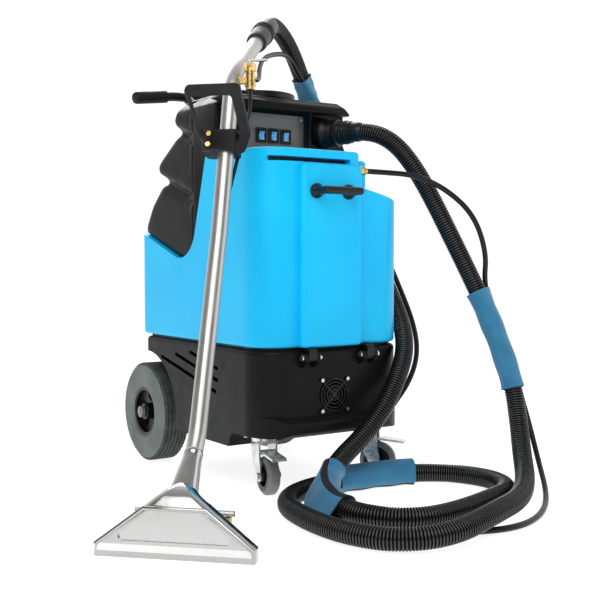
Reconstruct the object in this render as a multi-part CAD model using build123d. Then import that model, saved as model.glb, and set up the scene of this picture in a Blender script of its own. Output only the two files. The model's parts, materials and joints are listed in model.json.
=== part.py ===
from math import atan2, degrees, hypot, radians, sin, sqrt, tan
import os

from build123d import *

os.makedirs("parts", exist_ok=True)

# Machine frame: fan face of the lower housing on y = 0, floor on z = 0, front toward -Y.
# Lower housing
BODY_W = 414
BASE_LEN = 605
BASE_TOP = 334
BASE_FLOOR = 103
NOSE_FLOOR = 137
NOSE_LEN = 140
WALL = 6
CORNER_R = 75
RIM_RISE = 6
BUMPER_OUT = 20

# Solution tank
TANK_LEN = 632
TANK_TOP = 790
BELLY_LEFT = -110
BELLY_RIGHT = 60
BELLY_OUT = 22
BELLY_TOP = 754
CRADLE_REAR_Z = 617
CRADLE_SLOPE = 0.33
CRADLE_LEAN = 0.31
CRADLE_R = 85
SHOULDER_Z = 684
SHOULDER_Y = 165
FILL_SLOT = (-190, 36)
FILL_SLOT_H = 11
FILL_SLOT_DEEP = 22
PULL_X = (-75, 14)
PULL_Z = 693

# Recovery tank
HOOD_W = 396
HOOD_TOP = 940
HOOD_Y = 250
VISOR_OUT = 32
VISOR_H = 32
DRY_BOX = 38
LOBE_IN = 14
LOBE_R = 12
LID_X = -10
LID_Y = 335
LID_D = 190
NECK_D = 178
NECK_BORE_D = 156
FLOAT_D = 92
PIPE_D = 48
STAND_AT = (84, 362)

# Running gear
TYRE_D = 262
TYRE_W = 80
RIM_D = 130
RIM_WALL = 8
TREAD_X = (-24, -8, 8, 24)
TREAD_W = 3.4
TREAD_DEEP = 4.5
WHEEL_X = 183
WHEEL_Y = 581
AXLE_D = 16
ARCH_GAP = 33
CASTER_X = 150
CASTER_Y = 85
CASTER_D = 88.9
CASTER_W = 32
CASTER_TRAIL = 30
CASTER_HEADING = {"left": -10, "right": 40}
PEDAL_PIVOT = (-14, 97)
BOLT_D = 8
RUN_FIT = 0.06
GAP = 0.4

# Front face fittings
FAN_X = -10
FAN_Z = 226
FAN_SIZE = 80
FAN_PITCH = 71.5
HINGE_X = (-85, 80)
HINGE_Y = -14
HINGE_Z = 317
HINGE_LUG_W = 22
HINGE_PIN_D = 8
SWITCH_X = (-55, -19, 17)
SWITCH_Z = 846
SWITCH_TILT = 7
PORT_AT = (136, 250, 862)
PORT_TURN = 30
PORT_LEN = 80
OUTLET_AT = (BELLY_RIGHT, 20, 748)
OUTLET_LEN = 38
PANEL = (-112, 72, 806, 900)
PANEL_T = 3

# Rear fittings of the recovery tank
ARM_X = (-56, 56)
ARM_FOOT = (440, 905)
ARM_REACH = (646, 990)
ARM_D = 25
GRIP_D = 33
DUMP_AT = (0, 600, 660)
DUMP_D = 46

# Wand frame: x across the lip, y the way it leans, z up
HEAD_AT = (-553.5, -261.7)
HEAD_TURN = -45
LIP_W = 305
TUBE_D = 35
TUBE_WALL = 1.6
TUBE_LINE = [(58, 112), (138, 190), (305, 600), (414, 936), (672, 1074)]
TUBE_RADII = [150, 700, 150]
CLAMP_AT = (365, 785)
CLAMP_BOLTS = ((-33, -12), (-33, 12))
VALVE_AT = (38, 420, 936)
VALVE_TAIL = 30
SPRAY_AT = (58, 70)
CUFF_D = 52
CUFF_LEN = 92
CUFF_LAP = 40

# Hoses
HOSE_D = 44.5
HOSE_BORE_D = 38
HOSE_RIB = 1.6
LINE_D = 13
LINE_BORE_D = 7
SLEEVE_T = 3
SLEEVE_ROOM = 1.2
LINE_ROOM = 8
PORT_RUN = 52
HOSE_RIBS = (44, 72, 80)
HOSE_CUTS = (12, 28)
LINE_CUTS = (20,)
# Free points of each route; its ends come from the fittings
HOSE_ROUTE = [
    (233, 82, 832), (258, 39, 774), (280, 0, 700), (302, -38, 616), (325, -78, 526), (348, -120, 430),
    (368, -156, 334), (383, -184, 242), (378, -208, 160), (346, -250, 92), (284, -322, 50), (176, -410, 40),
    (36, -478, 46), (-98, -512, 32), (-202, -474, 24), (-252, -374, 24), (-256, -250, 24), (-230, -126, 24),
    (-154, -48, 24), (-44, -18, 26.5), (84, -20, 26.5), (204, -42, 26.5), (292, -108, 24), (312, -208, 24),
    (261, -296, 24), (168, -330, 24), (64, -362, 24), (-24, -376, 24), (-86, -362, 24), (-134, -322, 26.5),
    (-160, -260, 29), (-154, -182, 40), (-108, -112, 64), (-46, -78, 95), (14, -70, 131), (62, -66, 170),
    (102, -60, 212), (142, -46, 260), (186, -18, 308), (224, 28, 352), (248, 82, 404), (260, 136, 462),
    (266, 192, 534), (267, 254, 620), (267, 318, 716), (262, 384, 818), (230, 425, 930), (178, 415, 1040),
    (125, 388, 1103), (60, 345, 1136),
]
LINE_ROUTE = [
    (222, -18, 742), (280, -64, 706), (332, -102, 645), (366, -110, 555), (374, -94, 480), (384, -112, 420),
    (399, -140, 332), (412, -170, 245), (418, -200, 160), (386, -264, 72), (308, -364, 18), (200, -446, 8),
    (84, -486, 8), (-22, -452, 8), (-112, -442, 8), (-178, -394, 8), (-206, -310, 8), (-204, -220, 8),
    (-182, -140, 16), (-124, -76, 36), (-50, -50, 64), (22, -44, 98), (78, -42, 142), (136, -38, 194),
    (198, -28, 250), (252, 8, 312), (284, 64, 378), (298, 124, 448), (300, 184, 534), (299, 246, 620),
    (299, 304, 716), (290, 362, 818), (238, 384, 935), (158, 390, 1028), (104, 366, 1080), (20, 300, 1062),
    (-70, 212, 1028), (-134, 128, 984),
]

SEAT_Z = BASE_TOP + RIM_RISE
HALF_W = BODY_W / 2
HALF_HOOD = HOOD_W / 2
TYRE_R = TYRE_D / 2
CASTER_R = CASTER_D / 2
HOSE_R = HOSE_D / 2
LINE_R = LINE_D / 2
WAND = Pos(*HEAD_AT, 0) * Rot(0, 0, HEAD_TURN)
LOOP_PLANE = Plane(origin=(0, *CLAMP_AT), x_dir=(1, 0, 0), z_dir=(0, -0.678, -0.735))


def lean(low, high):
    """Degrees from upright of a (y, z) to (y, z) stretch."""
    return degrees(atan2(high[0] - low[0], high[1] - low[1]))


NECK_TILT = lean(TUBE_LINE[0], TUBE_LINE[1])
TUBE_TILT = lean(TUBE_LINE[2], TUBE_LINE[3])


def outline(points):
    """Closed face through (x, y) or (x, y, corner radius) points."""
    count = len(points)
    corners = []
    for i in range(count):
        before, here, after = (Vector(*points[(i + k) % count][:2]) for k in (-1, 0, 1))
        back = (before - here).normalized()
        onward = (after - here).normalized()
        radius = points[i][2] if len(points[i]) > 2 else 0
        if radius:
            half = radians(back.get_angle(onward)) / 2
            reach = radius / tan(half)
            bulge = here + (back + onward).normalized() * (radius / sin(half) - radius)
            corners.append((here + back * reach, bulge, here + onward * reach))
        else:
            corners.append((here, None, here))
    edges = []
    for i, (start, bulge, end) in enumerate(corners):
        if bulge is not None:
            edges.append(ThreePointArc(start, bulge, end))
        following = corners[(i + 1) % count][0]
        if (following - end).length > 1e-6:
            edges.append(Line(end, following))
    return make_face(edges)


def side_block(points, left, right):
    """Solid from a side view outline in (y, z), between two x values."""
    return Pos(left, 0, 0) * extrude(Plane.YZ * outline(points), right - left)


def front_block(points, near, far):
    """Solid from a front view outline in (x, z), between two y values."""
    plane = Plane(origin=(0, near, 0), x_dir=(1, 0, 0), z_dir=(0, -1, 0))
    return extrude(plane * outline(points), near - far)


def plan_block(points, low, high):
    """Solid from a plan outline in (x, y), between two heights."""
    return Pos(0, 0, low) * extrude(outline(points), high - low)


def rectangle(left, right, near, far, near_r=0, far_r=0):
    return [(left, near, near_r), (right, near, near_r), (right, far, far_r), (left, far, far_r)]


def rod(start, end, diameter):
    start, end = Vector(*start), Vector(*end)
    way = end - start
    return extrude(Plane(origin=start, z_dir=way) * Circle(diameter / 2), way.length)


def pipe(outer, inner, length):
    return Cylinder(outer / 2, length) - Cylinder(inner / 2, length)


def turned(points):
    """Solid of revolution about X from (x, radius) points."""
    return revolve(Plane.XZ * outline(points), Axis.X)


def both_sides(shape):
    return [shape, mirror(shape, about=Plane.YZ)]


def cradle_z(y):
    return CRADLE_REAR_Z - CRADLE_SLOPE * (TANK_LEN - y)


def cradle_corner(inset):
    """Where the cradle's floor and front wall meet, moved in by a wall."""
    floor_lift = inset * hypot(1, CRADLE_SLOPE)
    wall_push = inset * hypot(1, CRADLE_LEAN)
    start = HOOD_Y + 3 + wall_push
    floor_0 = CRADLE_REAR_Z + floor_lift - CRADLE_SLOPE * TANK_LEN
    y = (start + CRADLE_LEAN * (TANK_TOP - floor_0)) / (1 + CRADLE_LEAN * CRADLE_SLOPE)
    return y, floor_0 + CRADLE_SLOPE * y


def wheel_bays(grow):
    inner_x = WHEEL_X - TYRE_W / 2 - 12 - grow
    length = HALF_W + 40 - inner_x
    radius = TYRE_R + ARCH_GAP + grow
    bay = Pos(inner_x + length / 2, WHEEL_Y, TYRE_R) * Rot(0, 90, 0) * Cylinder(radius, length)
    return both_sides(bay)


def base_plan(inset):
    side = HALF_W - inset
    return rectangle(-side, side, inset, BASE_LEN - inset, CORNER_R - inset, 34 - inset)


def base_housing():
    body = plan_block(base_plan(0), BASE_FLOOR, BASE_TOP)
    body = fillet(body.faces().sort_by(Axis.Z)[-1].edges(), 10)
    under_nose = [(-40, 90), (NOSE_LEN + 14, 90), (NOSE_LEN - 6, NOSE_FLOOR, 12), (-40, NOSE_FLOOR)]
    body -= side_block(under_nose, -HALF_W - 1, HALF_W + 1)
    under_tail = [(BASE_LEN - 75, 90), (BASE_LEN + 10, 90), (BASE_LEN + 10, 185), (BASE_LEN - 6, 168, 30)]
    body -= side_block(under_tail, -HALF_W - 1, HALF_W + 1)
    bumper = [
        (70, 184), (3, 184, 10), (-BUMPER_OUT, 167, 9), (-BUMPER_OUT, 147, 10), (-8, NOSE_FLOOR, 10),
        (70, NOSE_FLOOR),
    ]
    skirt = rectangle(4 - HALF_W, HALF_W - 4, -BUMPER_OUT, 70, CORNER_R + 14)
    body += side_block(bumper, -HALF_W, HALF_W) & plan_block(skirt, 100, 200)
    inner_side = [
        (WALL, SEAT_Z), (WALL, NOSE_FLOOR + WALL), (NOSE_LEN + 4, NOSE_FLOOR + WALL, 8),
        (NOSE_LEN + 20, BASE_FLOOR + WALL, 8), (BASE_LEN - 84, BASE_FLOOR + WALL), (BASE_LEN - WALL, 180),
        (BASE_LEN - WALL, SEAT_Z),
    ]
    hollow = side_block(inner_side, -HALF_W, HALF_W) & plan_block(base_plan(WALL), 0, SEAT_Z)
    body -= hollow - wheel_bays(WALL)
    for inset, low, high in ((3, BASE_TOP - 22, BASE_TOP - 14), (12, BASE_TOP - 14, SEAT_Z)):
        body += plan_block(base_plan(inset), low, high) - plan_block(base_plan(20), 0, SEAT_Z)
    body -= wheel_bays(0)
    for row, (rear_y, front_y) in enumerate(((340, 196), (419, 196), (499, 204))):
        rise = 0.215 * (rear_y - front_y)
        slot = SlotOverall(hypot(rear_y - front_y, rise), 9)
        centre = Pos((rear_y + front_y) / 2, 279 - 28 * row + rise / 2) * Rot(0, 0, degrees(atan2(0.215, 1)))
        body -= extrude(Plane.YZ * (centre * slot), HALF_W + 5, both=True) - Box(300, 2000, 2000)
    body -= Pos(FAN_X, 0, FAN_Z) * Rot(90, 0, 0) * Cylinder(FAN_SIZE / 2 - 2, 60)
    for x, z in fan_corners():
        body -= Pos(x, 0, z) * Rot(90, 0, 0) * Cylinder(2 + RUN_FIT, 60)
    body -= Pos(0, WHEEL_Y, TYRE_R) * Rot(0, 90, 0) * Cylinder(AXLE_D / 2 + RUN_FIT, BODY_W)
    for x in HINGE_X:
        for side in (-1, 1):
            middle = x + side * (HINGE_LUG_W / 2 + 5)
            ear = [
                (3, HINGE_Z + 11), (HINGE_Y - 11, HINGE_Z + 11, 10.9), (HINGE_Y - 11, HINGE_Z - 11, 10.9),
                (3, HINGE_Z - 26),
            ]
            body += side_block(ear, middle - 4, middle + 4)
        body -= Pos(x, HINGE_Y, HINGE_Z) * Rot(0, 90, 0) * Cylinder(HINGE_PIN_D / 2 + RUN_FIT, 70)
    for x, y in caster_bolt_places():
        body -= Pos(x, y, NOSE_FLOOR) * Cylinder(BOLT_D / 2 + RUN_FIT, 40)
    return body


def fan_corners():
    half = FAN_PITCH / 2
    return [(FAN_X + x * half, FAN_Z + z * half) for x in (-1, 1) for z in (-1, 1)]


def caster_bolt_places():
    return [
        (side * CASTER_X + x, CASTER_Y + y) for side in (-1, 1) for x in (-28, 28) for y in (-28, 28)
    ]


def tank_side(inset):
    y, z = cradle_corner(-inset)
    wall = HOOD_Y + 3 - inset * hypot(1, CRADLE_LEAN)
    return [
        (inset, SEAT_Z + inset), (inset, TANK_TOP - inset), (wall, TANK_TOP - inset),
        (y, z, CRADLE_R + inset), (TANK_LEN - inset, cradle_z(TANK_LEN) - inset * 1.05),
        (TANK_LEN - inset, SEAT_Z + inset),
    ]


def solution_tank():
    plan = rectangle(-HALF_W, HALF_W, 0, TANK_LEN, CORNER_R, 44)
    body = side_block(tank_side(0), -HALF_W, HALF_W) & plan_block(plan, 0, 1000)
    shoulder = [
        (BELLY_RIGHT, TANK_TOP + 9), (BELLY_RIGHT, SHOULDER_Z + 26, 16), (HALF_W + 8, SHOULDER_Z - 12),
        (HALF_W + 8, TANK_TOP + 9),
    ]
    slot_low = BELLY_TOP + 5
    slot = front_block(rectangle(*FILL_SLOT, slot_low, slot_low + FILL_SLOT_H), -30, FILL_SLOT_DEEP)
    body -= front_block(shoulder, -60, SHOULDER_Y)
    body = fillet([e for e in body.edges() if abs(e.center().Z - TANK_TOP) < 0.01 and e.center().Y < HOOD_Y - 4], 9)
    body = fillet([e for e in body.edges() if abs(e.center().Z - SEAT_Z) < 0.01], 8)
    belly = plan_block(rectangle(BELLY_LEFT, BELLY_RIGHT, -BELLY_OUT, 30, 14), SEAT_Z, BELLY_TOP)
    belly = fillet([e for e in belly.edges() if e.center().Y < 20 and abs(e.center().Z - BELLY_TOP) < 0.01], 8)
    belly = fillet([e for e in belly.edges() if e.center().Y < 20 and abs(e.center().Z - SEAT_Z) < 0.01], 8)
    body += belly
    hollow = side_block(tank_side(WALL), WALL - HALF_W, HALF_W - WALL)
    hollow &= plan_block(rectangle(WALL - HALF_W, HALF_W - WALL, WALL, TANK_LEN - WALL, CORNER_R - WALL, 38), 0, 1000)
    inner_shoulder = [
        (BELLY_RIGHT - WALL, TANK_TOP + 9), (BELLY_RIGHT - WALL, SHOULDER_Z + 18), (HALF_W + 8, SHOULDER_Z - 22),
        (HALF_W + 8, TANK_TOP + 9),
    ]
    hollow -= front_block(inner_shoulder, -60, SHOULDER_Y + WALL)
    around_slot = rectangle(FILL_SLOT[0] - WALL, FILL_SLOT[1] + WALL, slot_low - WALL, TANK_TOP)
    hollow -= front_block(around_slot, -30, FILL_SLOT_DEEP + WALL)
    body -= hollow
    body -= slot
    for x in PULL_X:
        body -= Pos(x, -BELLY_OUT, PULL_Z) * Rot(90, 0, 0) * Cylinder(3 + RUN_FIT, 30)
    x, y, z = OUTLET_AT
    body -= Pos(x, y, z) * Rot(0, 90, 0) * Cylinder(8 + RUN_FIT, 30)
    return body


def recovery_hollow():
    front_y = HOOD_Y + DRY_BOX + 6
    front_z = TANK_TOP - (front_y - HOOD_Y - 3 - WALL * hypot(1, CRADLE_LEAN)) / CRADLE_LEAN
    inner = [
        (front_y, HOOD_TOP - WALL), (414, HOOD_TOP - WALL, 12), (424, 880, 8), (404, 860, 8), (482, 734, 8),
        (556, 634, 8), (570, cradle_z(570) + WALL * hypot(1, CRADLE_SLOPE)),
        (*cradle_corner(WALL), CRADLE_R - WALL), (front_y, front_z),
    ]
    return side_block(inner, 24 - HALF_HOOD, HALF_HOOD - 24)


def lobe(profile):
    """Cushion-like tier across the tank's back, its ends rounded over."""
    block = side_block(profile, -HALF_HOOD, HALF_HOOD)
    return fillet(block.faces().filter_by(Axis.X).edges(), LOBE_R)


def recovery_tank():
    bulk = [
        (HOOD_Y, HOOD_TOP), (614, HOOD_TOP), (614, cradle_z(614)), (*cradle_corner(0), CRADLE_R),
        (HOOD_Y + 3, TANK_TOP), (HOOD_Y, TANK_TOP + 10),
    ]
    first = [(330, HOOD_TOP), (418, HOOD_TOP, 26), (456, 880, 18), (330, 840)]
    second = [(330, 824), (424, 854, 16), (534, 792, 20), (544, 764, 14), (330, 694)]
    third = [(330, 678), (508, 736, 16), (572, 684, 26), (612, 628, 14), (612, 500), (330, 500)]
    core = [
        (250, HOOD_TOP), (416, HOOD_TOP), (436, 874), (418, 864), (496, 736), (566, 640), (590, 500), (250, 500),
    ]
    waist = HALF_HOOD - LOBE_IN - 4
    tiers = plan_block([
        (-HALF_HOOD, 200), (HALF_HOOD, 200), (HALF_HOOD, 330), (waist, 394), (-waist, 394), (-HALF_HOOD, 330),
    ], 400, HOOD_TOP)
    tiers += side_block(core, LOBE_IN - HALF_HOOD, HALF_HOOD - LOBE_IN)
    for profile in (first, second, third):
        tiers += lobe(profile)
    body = side_block(bulk, -HALF_HOOD, HALF_HOOD) & tiers
    visor = [
        (HOOD_Y + 10, HOOD_TOP - VISOR_H), (HOOD_Y - VISOR_OUT, HOOD_TOP - VISOR_H, 5),
        (HOOD_Y - VISOR_OUT, HOOD_TOP - 14, 8), (HOOD_Y - VISOR_OUT + 16, HOOD_TOP, 10), (HOOD_Y + 10, HOOD_TOP),
    ]
    body += side_block(visor, -HALF_HOOD, HALF_HOOD)
    post = [
        (HOOD_Y + 5, 800), (HOOD_Y - 22, 800, 6), (HOOD_Y - VISOR_OUT + 6, HOOD_TOP - VISOR_H),
        (HOOD_Y + 5, HOOD_TOP - 20),
    ]
    for left, right in ((74, 82), (-HALF_HOOD, 12 - HALF_HOOD)):
        body += side_block(post, left, right)
    arch = [
        (-HALF_HOOD, 400), (HALF_HOOD, 400), (HALF_HOOD, HOOD_TOP - 30, 12), (HALF_HOOD - 32, HOOD_TOP, 14),
        (32 - HALF_HOOD, HOOD_TOP, 14), (-HALF_HOOD, HOOD_TOP - 30, 12),
    ]
    body &= front_block(arch, 0, 900)
    body += Pos(LID_X, LID_Y, HOOD_TOP + 1) * Cylinder(NECK_D / 2, 14)
    body -= recovery_hollow()
    body -= Pos(LID_X, LID_Y, HOOD_TOP) * Cylinder(NECK_BORE_D / 2, 60)
    body -= front_block(rectangle(-100, 60, 816, 892), HOOD_Y - 1, HOOD_Y + DRY_BOX)
    body -= port_place() * Cylinder(HOSE_BORE_D / 2, 200) - Box(900, 2 * HOOD_Y - 60, 2000)
    for x, z in panel_corners():
        body -= Pos(x, HOOD_Y, z) * Rot(90, 0, 0) * Cylinder(1.9 + RUN_FIT, 24)
    for x in ARM_X:
        body -= Pos(x, *ARM_FOOT) * Rot(90, 0, 0) * Cylinder(ARM_D / 2 + RUN_FIT, 40)
    body -= Pos(DUMP_AT[0], DUMP_AT[1] - 30, DUMP_AT[2]) * Rot(90, 0, 0) * Cylinder(DUMP_D / 2 + RUN_FIT, 160)
    return body


def panel_corners():
    left, right, low, high = PANEL
    return [(x, z) for x in (left + 8, right - 8) for z in (low + 10, high - 10)]


def port_place():
    """The suction inlet's axis, z along the way the hose leaves."""
    way = Vector(0, -1, 0).rotate(Axis.Z, PORT_TURN)
    return Plane(origin=PORT_AT, z_dir=way, x_dir=(0, 0, 1)).location


def hinge_lugs():
    profile = [
        (11, SEAT_Z), (HINGE_Y - 11, SEAT_Z, 8), (HINGE_Y - 11, HINGE_Z - 11, 10.9),
        (HINGE_Y + 11, HINGE_Z - 11, 10.9), (HINGE_Y + 11, BASE_TOP + GAP), (11, BASE_TOP + GAP),
    ]
    lugs = []
    for x in HINGE_X:
        lug = side_block(profile, x - HINGE_LUG_W / 2, x + HINGE_LUG_W / 2)
        lugs.append(lug - Pos(x, HINGE_Y, HINGE_Z) * Rot(0, 90, 0) * Cylinder(HINGE_PIN_D / 2 + RUN_FIT, 70))
    return lugs


def hinge_pins():
    reach = HINGE_LUG_W / 2 + 9
    pins = []
    for x in HINGE_X:
        pin = rod((x - reach - 1, HINGE_Y, HINGE_Z), (x + reach + 10, HINGE_Y, HINGE_Z), HINGE_PIN_D)
        for near, far in ((x - reach - 6, x - reach - 0.2), (x + reach + 0.2, x + reach + 7)):
            plane = Plane(origin=(near, HINGE_Y, HINGE_Z), z_dir=(1, 0, 0), x_dir=(0, 0, 1))
            pin += extrude(plane * RegularPolygon(7.5, 6), far - near)
        pins.append(pin)
    return pins


def panel_plate():
    left, right, low, high = PANEL
    plate = front_block([(x, z, 4) for x, z, _ in rectangle(left, right, low, high)], HOOD_Y - PANEL_T, HOOD_Y)
    for x in SWITCH_X:
        plate -= Pos(x, HOOD_Y, SWITCH_Z) * Box(23.4, 20, 30.4)
    for x, z in panel_corners():
        plate -= Pos(x, HOOD_Y, z) * Rot(90, 0, 0) * Cylinder(1.9 + RUN_FIT, 20)
    return plate


def pan_screw(length):
    """Pan head screw along -Y, seat of the head on y = 0."""
    head = Pos(0, -1.4, 0) * Rot(90, 0, 0) * Cylinder(4.2, 2.8)
    head -= Pos(0, -2.6, 0) * Box(1.2, 1.6, 5)
    head -= Pos(0, -2.6, 0) * Box(5, 1.6, 1.2)
    return head + rod((0, -0.5, 0), (0, length, 0), 3.8)


def face_screws():
    screws = [Pos(x, HOOD_Y - PANEL_T, z) * pan_screw(13) for x, z in panel_corners()]
    screws += [Pos(x, -4.2, z) * pan_screw(14) for x, z in fan_corners()]
    return screws


def switch_bezels():
    bezels = []
    for x in SWITCH_X:
        front_y = HOOD_Y - PANEL_T
        bezel = Pos(x, front_y - 2, SWITCH_Z) * fillet(Box(30, 4, 37).edges().filter_by(Axis.Y), 3)
        bezel += Pos(x, front_y + 12, SWITCH_Z) * Box(23, 26, 30)
        bezel -= Pos(x, front_y + 8, SWITCH_Z) * Box(20, 28, 27)
        bezel += rod((x - 10.5, front_y + 2, SWITCH_Z), (x + 10.5, front_y + 2, SWITCH_Z), 2.5)
        bezels.append(bezel)
    return bezels


def rocker(x):
    profile = [(-8, 12.2, 1), (-5.6, 0, 20), (-8, -12.2, 1), (0, -12.2, 2), (7, -3.5, 1), (7, 3.5, 1), (0, 12.2, 2)]
    key = side_block(profile, -9.6, 9.6) - rod((-20, 0, 0), (20, 0, 0), 2.5 + 2 * RUN_FIT)
    return Pos(x, HOOD_Y - PANEL_T + 2, SWITCH_Z) * Rot(SWITCH_TILT, 0, 0) * key


def suction_port():
    profile = [
        (-40, 0), (-40, 39), (6, 39, 4), (14, 34, 6), (34, 32, 3), (36, 35, 1), (44, 35, 1), (46, 29.5, 2),
        (PORT_LEN, 28), (PORT_LEN, 0),
    ]
    port = turned(profile) - Rot(0, 90, 0) * Cylinder(HOSE_BORE_D / 2, 400)
    port = port_place() * Rot(0, -90, 0) * port
    return port - Pos(0, HOOD_Y + 200, HOOD_TOP) * Box(900, 400, 900)


def push_handle():
    low, high = (ARM_REACH[0], ARM_REACH[1] - 14), ARM_REACH
    spine, _ = bend([(-206, *low), (-90, *high), (90, *high), (206, *low)], [180, 180])
    frame = tube(spine, ARM_D)
    for x in ARM_X:
        arm, _ = bend([(x, ARM_FOOT[0] - 18, ARM_FOOT[1]), (x, ARM_FOOT[0] + 50, ARM_FOOT[1]), (x, *high)], [60])
        frame += tube(arm, ARM_D)
    return frame


def handle_grips():
    low, high = (ARM_REACH[0], ARM_REACH[1] - 14), ARM_REACH
    start, end = Vector(-90, *high), Vector(-206, *low)
    way = (end - start).normalized()
    grip = rod(start + way * 26, end + way * 9, GRIP_D)
    grip = fillet(grip.faces().sort_by(Axis.X)[0].edges(), 12)
    grip -= rod(start, end, ARM_D)
    return both_sides(grip)


def bend(points, radii):
    return FilletPolyline(*[Vector(*p) for p in points], radius=radii), radii


def tube(path, outer, inner=0):
    start = Plane(origin=path @ 0, z_dir=path % 0)
    section = start * Circle(outer / 2)
    if inner:
        section -= start * Circle(inner / 2)
    return sweep(section, path=path)


def pull_handle():
    bar_y = -BELLY_OUT - 44
    left, right = PULL_X
    handle = rod((left - 9, bar_y, PULL_Z), (right + 9, bar_y, PULL_Z), 18)
    handle = fillet([e for e in handle.edges() if e.geom_type == GeomType.CIRCLE], 7)
    for x in PULL_X:
        foot = turned([(0, 0), (0, 17), (6, 17, 3), (16, 10, 8), (44, 8), (44, 0)])
        handle += Pos(x, -BELLY_OUT, PULL_Z) * Rot(0, 0, -90) * foot
        handle += rod((x, -BELLY_OUT - 1, PULL_Z), (x, -BELLY_OUT + 14, PULL_Z), 6)
    return handle


def solution_outlet():
    x, y, z = OUTLET_AT
    fitting = rod((x - 5, y, z), (x + 2, y, z), 16)
    hexagon = Plane(origin=(x, y, z), z_dir=(1, 0, 0), x_dir=(0, 0, 1))
    fitting += extrude(hexagon * RegularPolygon(14, 6), 9)
    fitting += rod((x + 9, y, z), (x + 32, y, z), 19)
    fitting += rod((x + 14, y, z), (x + 24, y, z), 23)
    fitting += rod((x + 32, y, z), (x + OUTLET_LEN, y, z), 14)
    return fitting - rod((x - 10, y, z), (x + 60, y, z), LINE_BORE_D)


def fan_guard():
    guard = pipe(77, 71, 2.4)
    for diameter in (57, 40, 23):
        guard += pipe(diameter + 5, diameter, 2.4)
    guard += Cylinder(6, 2.4)
    for turn in (45, 135):
        guard += Rot(0, 0, turn) * Box(FAN_PITCH * sqrt(2), 3, 2.4)
    for x in (-1, 1):
        for y in (-1, 1):
            guard += Pos(x * FAN_PITCH / 2, y * FAN_PITCH / 2, -0.7) * Cylinder(4.6, 3.8)
            guard -= Pos(x * FAN_PITCH / 2, y * FAN_PITCH / 2, 0) * Cylinder(1.9 + RUN_FIT, 20)
    return Pos(FAN_X, -2.6, FAN_Z) * Rot(90, 0, 0) * guard


def fan_frame():
    frame = Box(FAN_SIZE, FAN_SIZE, 25) - Cylinder(FAN_SIZE / 2 - 2, 25)
    frame += Pos(0, 0, -11) * Cylinder(15, 3)
    for turn in (0, 120, 240):
        frame += Rot(0, 0, turn) * Pos(26, 0, -11) * Box(28, 4, 3)
    frame += Pos(0, 0, -5) * Cylinder(3, 12)
    for x in (-1, 1):
        for y in (-1, 1):
            frame -= Pos(x * FAN_PITCH / 2, y * FAN_PITCH / 2, 0) * Cylinder(1.9 + RUN_FIT, 40)
    return Pos(FAN_X, WALL + 12.5, FAN_Z) * Rot(90, 0, 0) * frame


def fan_rotor():
    rotor = Pos(0, 0, 1.5) * Cylinder(17, 19)
    for i in range(7):
        blade = Pos(25.5, 0, 1.5) * Rot(38, 0, 0) * Box(21, 1.8, 22)
        rotor += Rot(0, 0, i * 360 / 7) * blade
    rotor -= Cylinder(3 + RUN_FIT, 3) + Pos(0, 0, -6) * Cylinder(3 + RUN_FIT, 16)
    return Pos(FAN_X, WALL + 12.5, FAN_Z) * Rot(90, 0, 0) * rotor


def rear_axle():
    axle = rod((-232, WHEEL_Y, TYRE_R), (232, WHEEL_Y, TYRE_R), AXLE_D)
    cap = Pos(226, WHEEL_Y, TYRE_R) * Rot(0, 90, 0) * pipe(30, AXLE_D, 9)
    return [axle, *both_sides(cap)]


def tyre():
    half = TYRE_W / 2
    profile = [
        (-half + 7, RIM_D / 2), (-half, RIM_D / 2 + 10, 7), (-half, TYRE_R - 22, 16), (-half + 17, TYRE_R, 15),
        (half - 17, TYRE_R, 15), (half, TYRE_R - 22, 16), (half, RIM_D / 2 + 10, 7), (half - 7, RIM_D / 2),
    ]
    body = turned(profile)
    for x in TREAD_X:
        body -= turned(rectangle(x - TREAD_W / 2, x + TREAD_W / 2, TYRE_R - TREAD_DEEP, TYRE_R + 1))
    return body


def wheel_rim():
    half = TYRE_W / 2
    bed = RIM_D / 2 - RIM_WALL
    hub = 22
    rim = turned([(-half + 7, bed), (half - 7, bed), (half - 7, RIM_D / 2), (-half + 7, RIM_D / 2)])
    rim += turned([(2, hub - 2), (12, hub - 2), (20, bed + 2), (10, bed + 2)])
    bore = AXLE_D / 2 + RUN_FIT
    rim += turned([(-30, bore), (36, bore), (36, hub, 4), (-30, hub, 4)])
    for i in range(5):
        hole = Pos(10, 0, (hub + bed) / 2) * Rot(0, 90, 0) * Cylinder((bed - hub) / 2 - 5, 60)
        rim -= Rot(i * 72, 0, 0) * hole
    return rim


def rear_wheel(shape, side):
    placed = Pos(WHEEL_X, WHEEL_Y, TYRE_R) * shape
    return placed if side == "right" else mirror(placed, about=Plane.YZ)


def caster_place(side):
    x = CASTER_X if side == "right" else -CASTER_X
    return Pos(x, CASTER_Y, 0) * Rot(0, 0, CASTER_HEADING[side])


def caster_plates():
    plates = []
    for x in (-CASTER_X, CASTER_X):
        plate = Pos(0, 0, NOSE_FLOOR - 2.5) * fillet(Box(78, 78, 5).edges().filter_by(Axis.Z), 8)
        for bolt_x in (-28, 28):
            for bolt_y in (-28, 28):
                plate -= Pos(bolt_x, bolt_y, NOSE_FLOOR) * Cylinder(BOLT_D / 2 + RUN_FIT, 30)
        plate += Pos(0, 0, NOSE_FLOOR - 5 - 9) * Cylinder(7, 18)
        plate += Pos(0, 0, NOSE_FLOOR - 5 - 18) * Cylinder(11, 3)
        plates.append(Pos(x, CASTER_Y, 0) * plate)
    return plates


def caster_bolts():
    bolts = []
    for x, y in caster_bolt_places():
        bolt = extrude(RegularPolygon(7, 6), -5) + Pos(0, 0, 4.5) * Cylinder(BOLT_D / 2, 12)
        bolts.append(Pos(x, y, NOSE_FLOOR - 5) * bolt)
    return bolts


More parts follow.
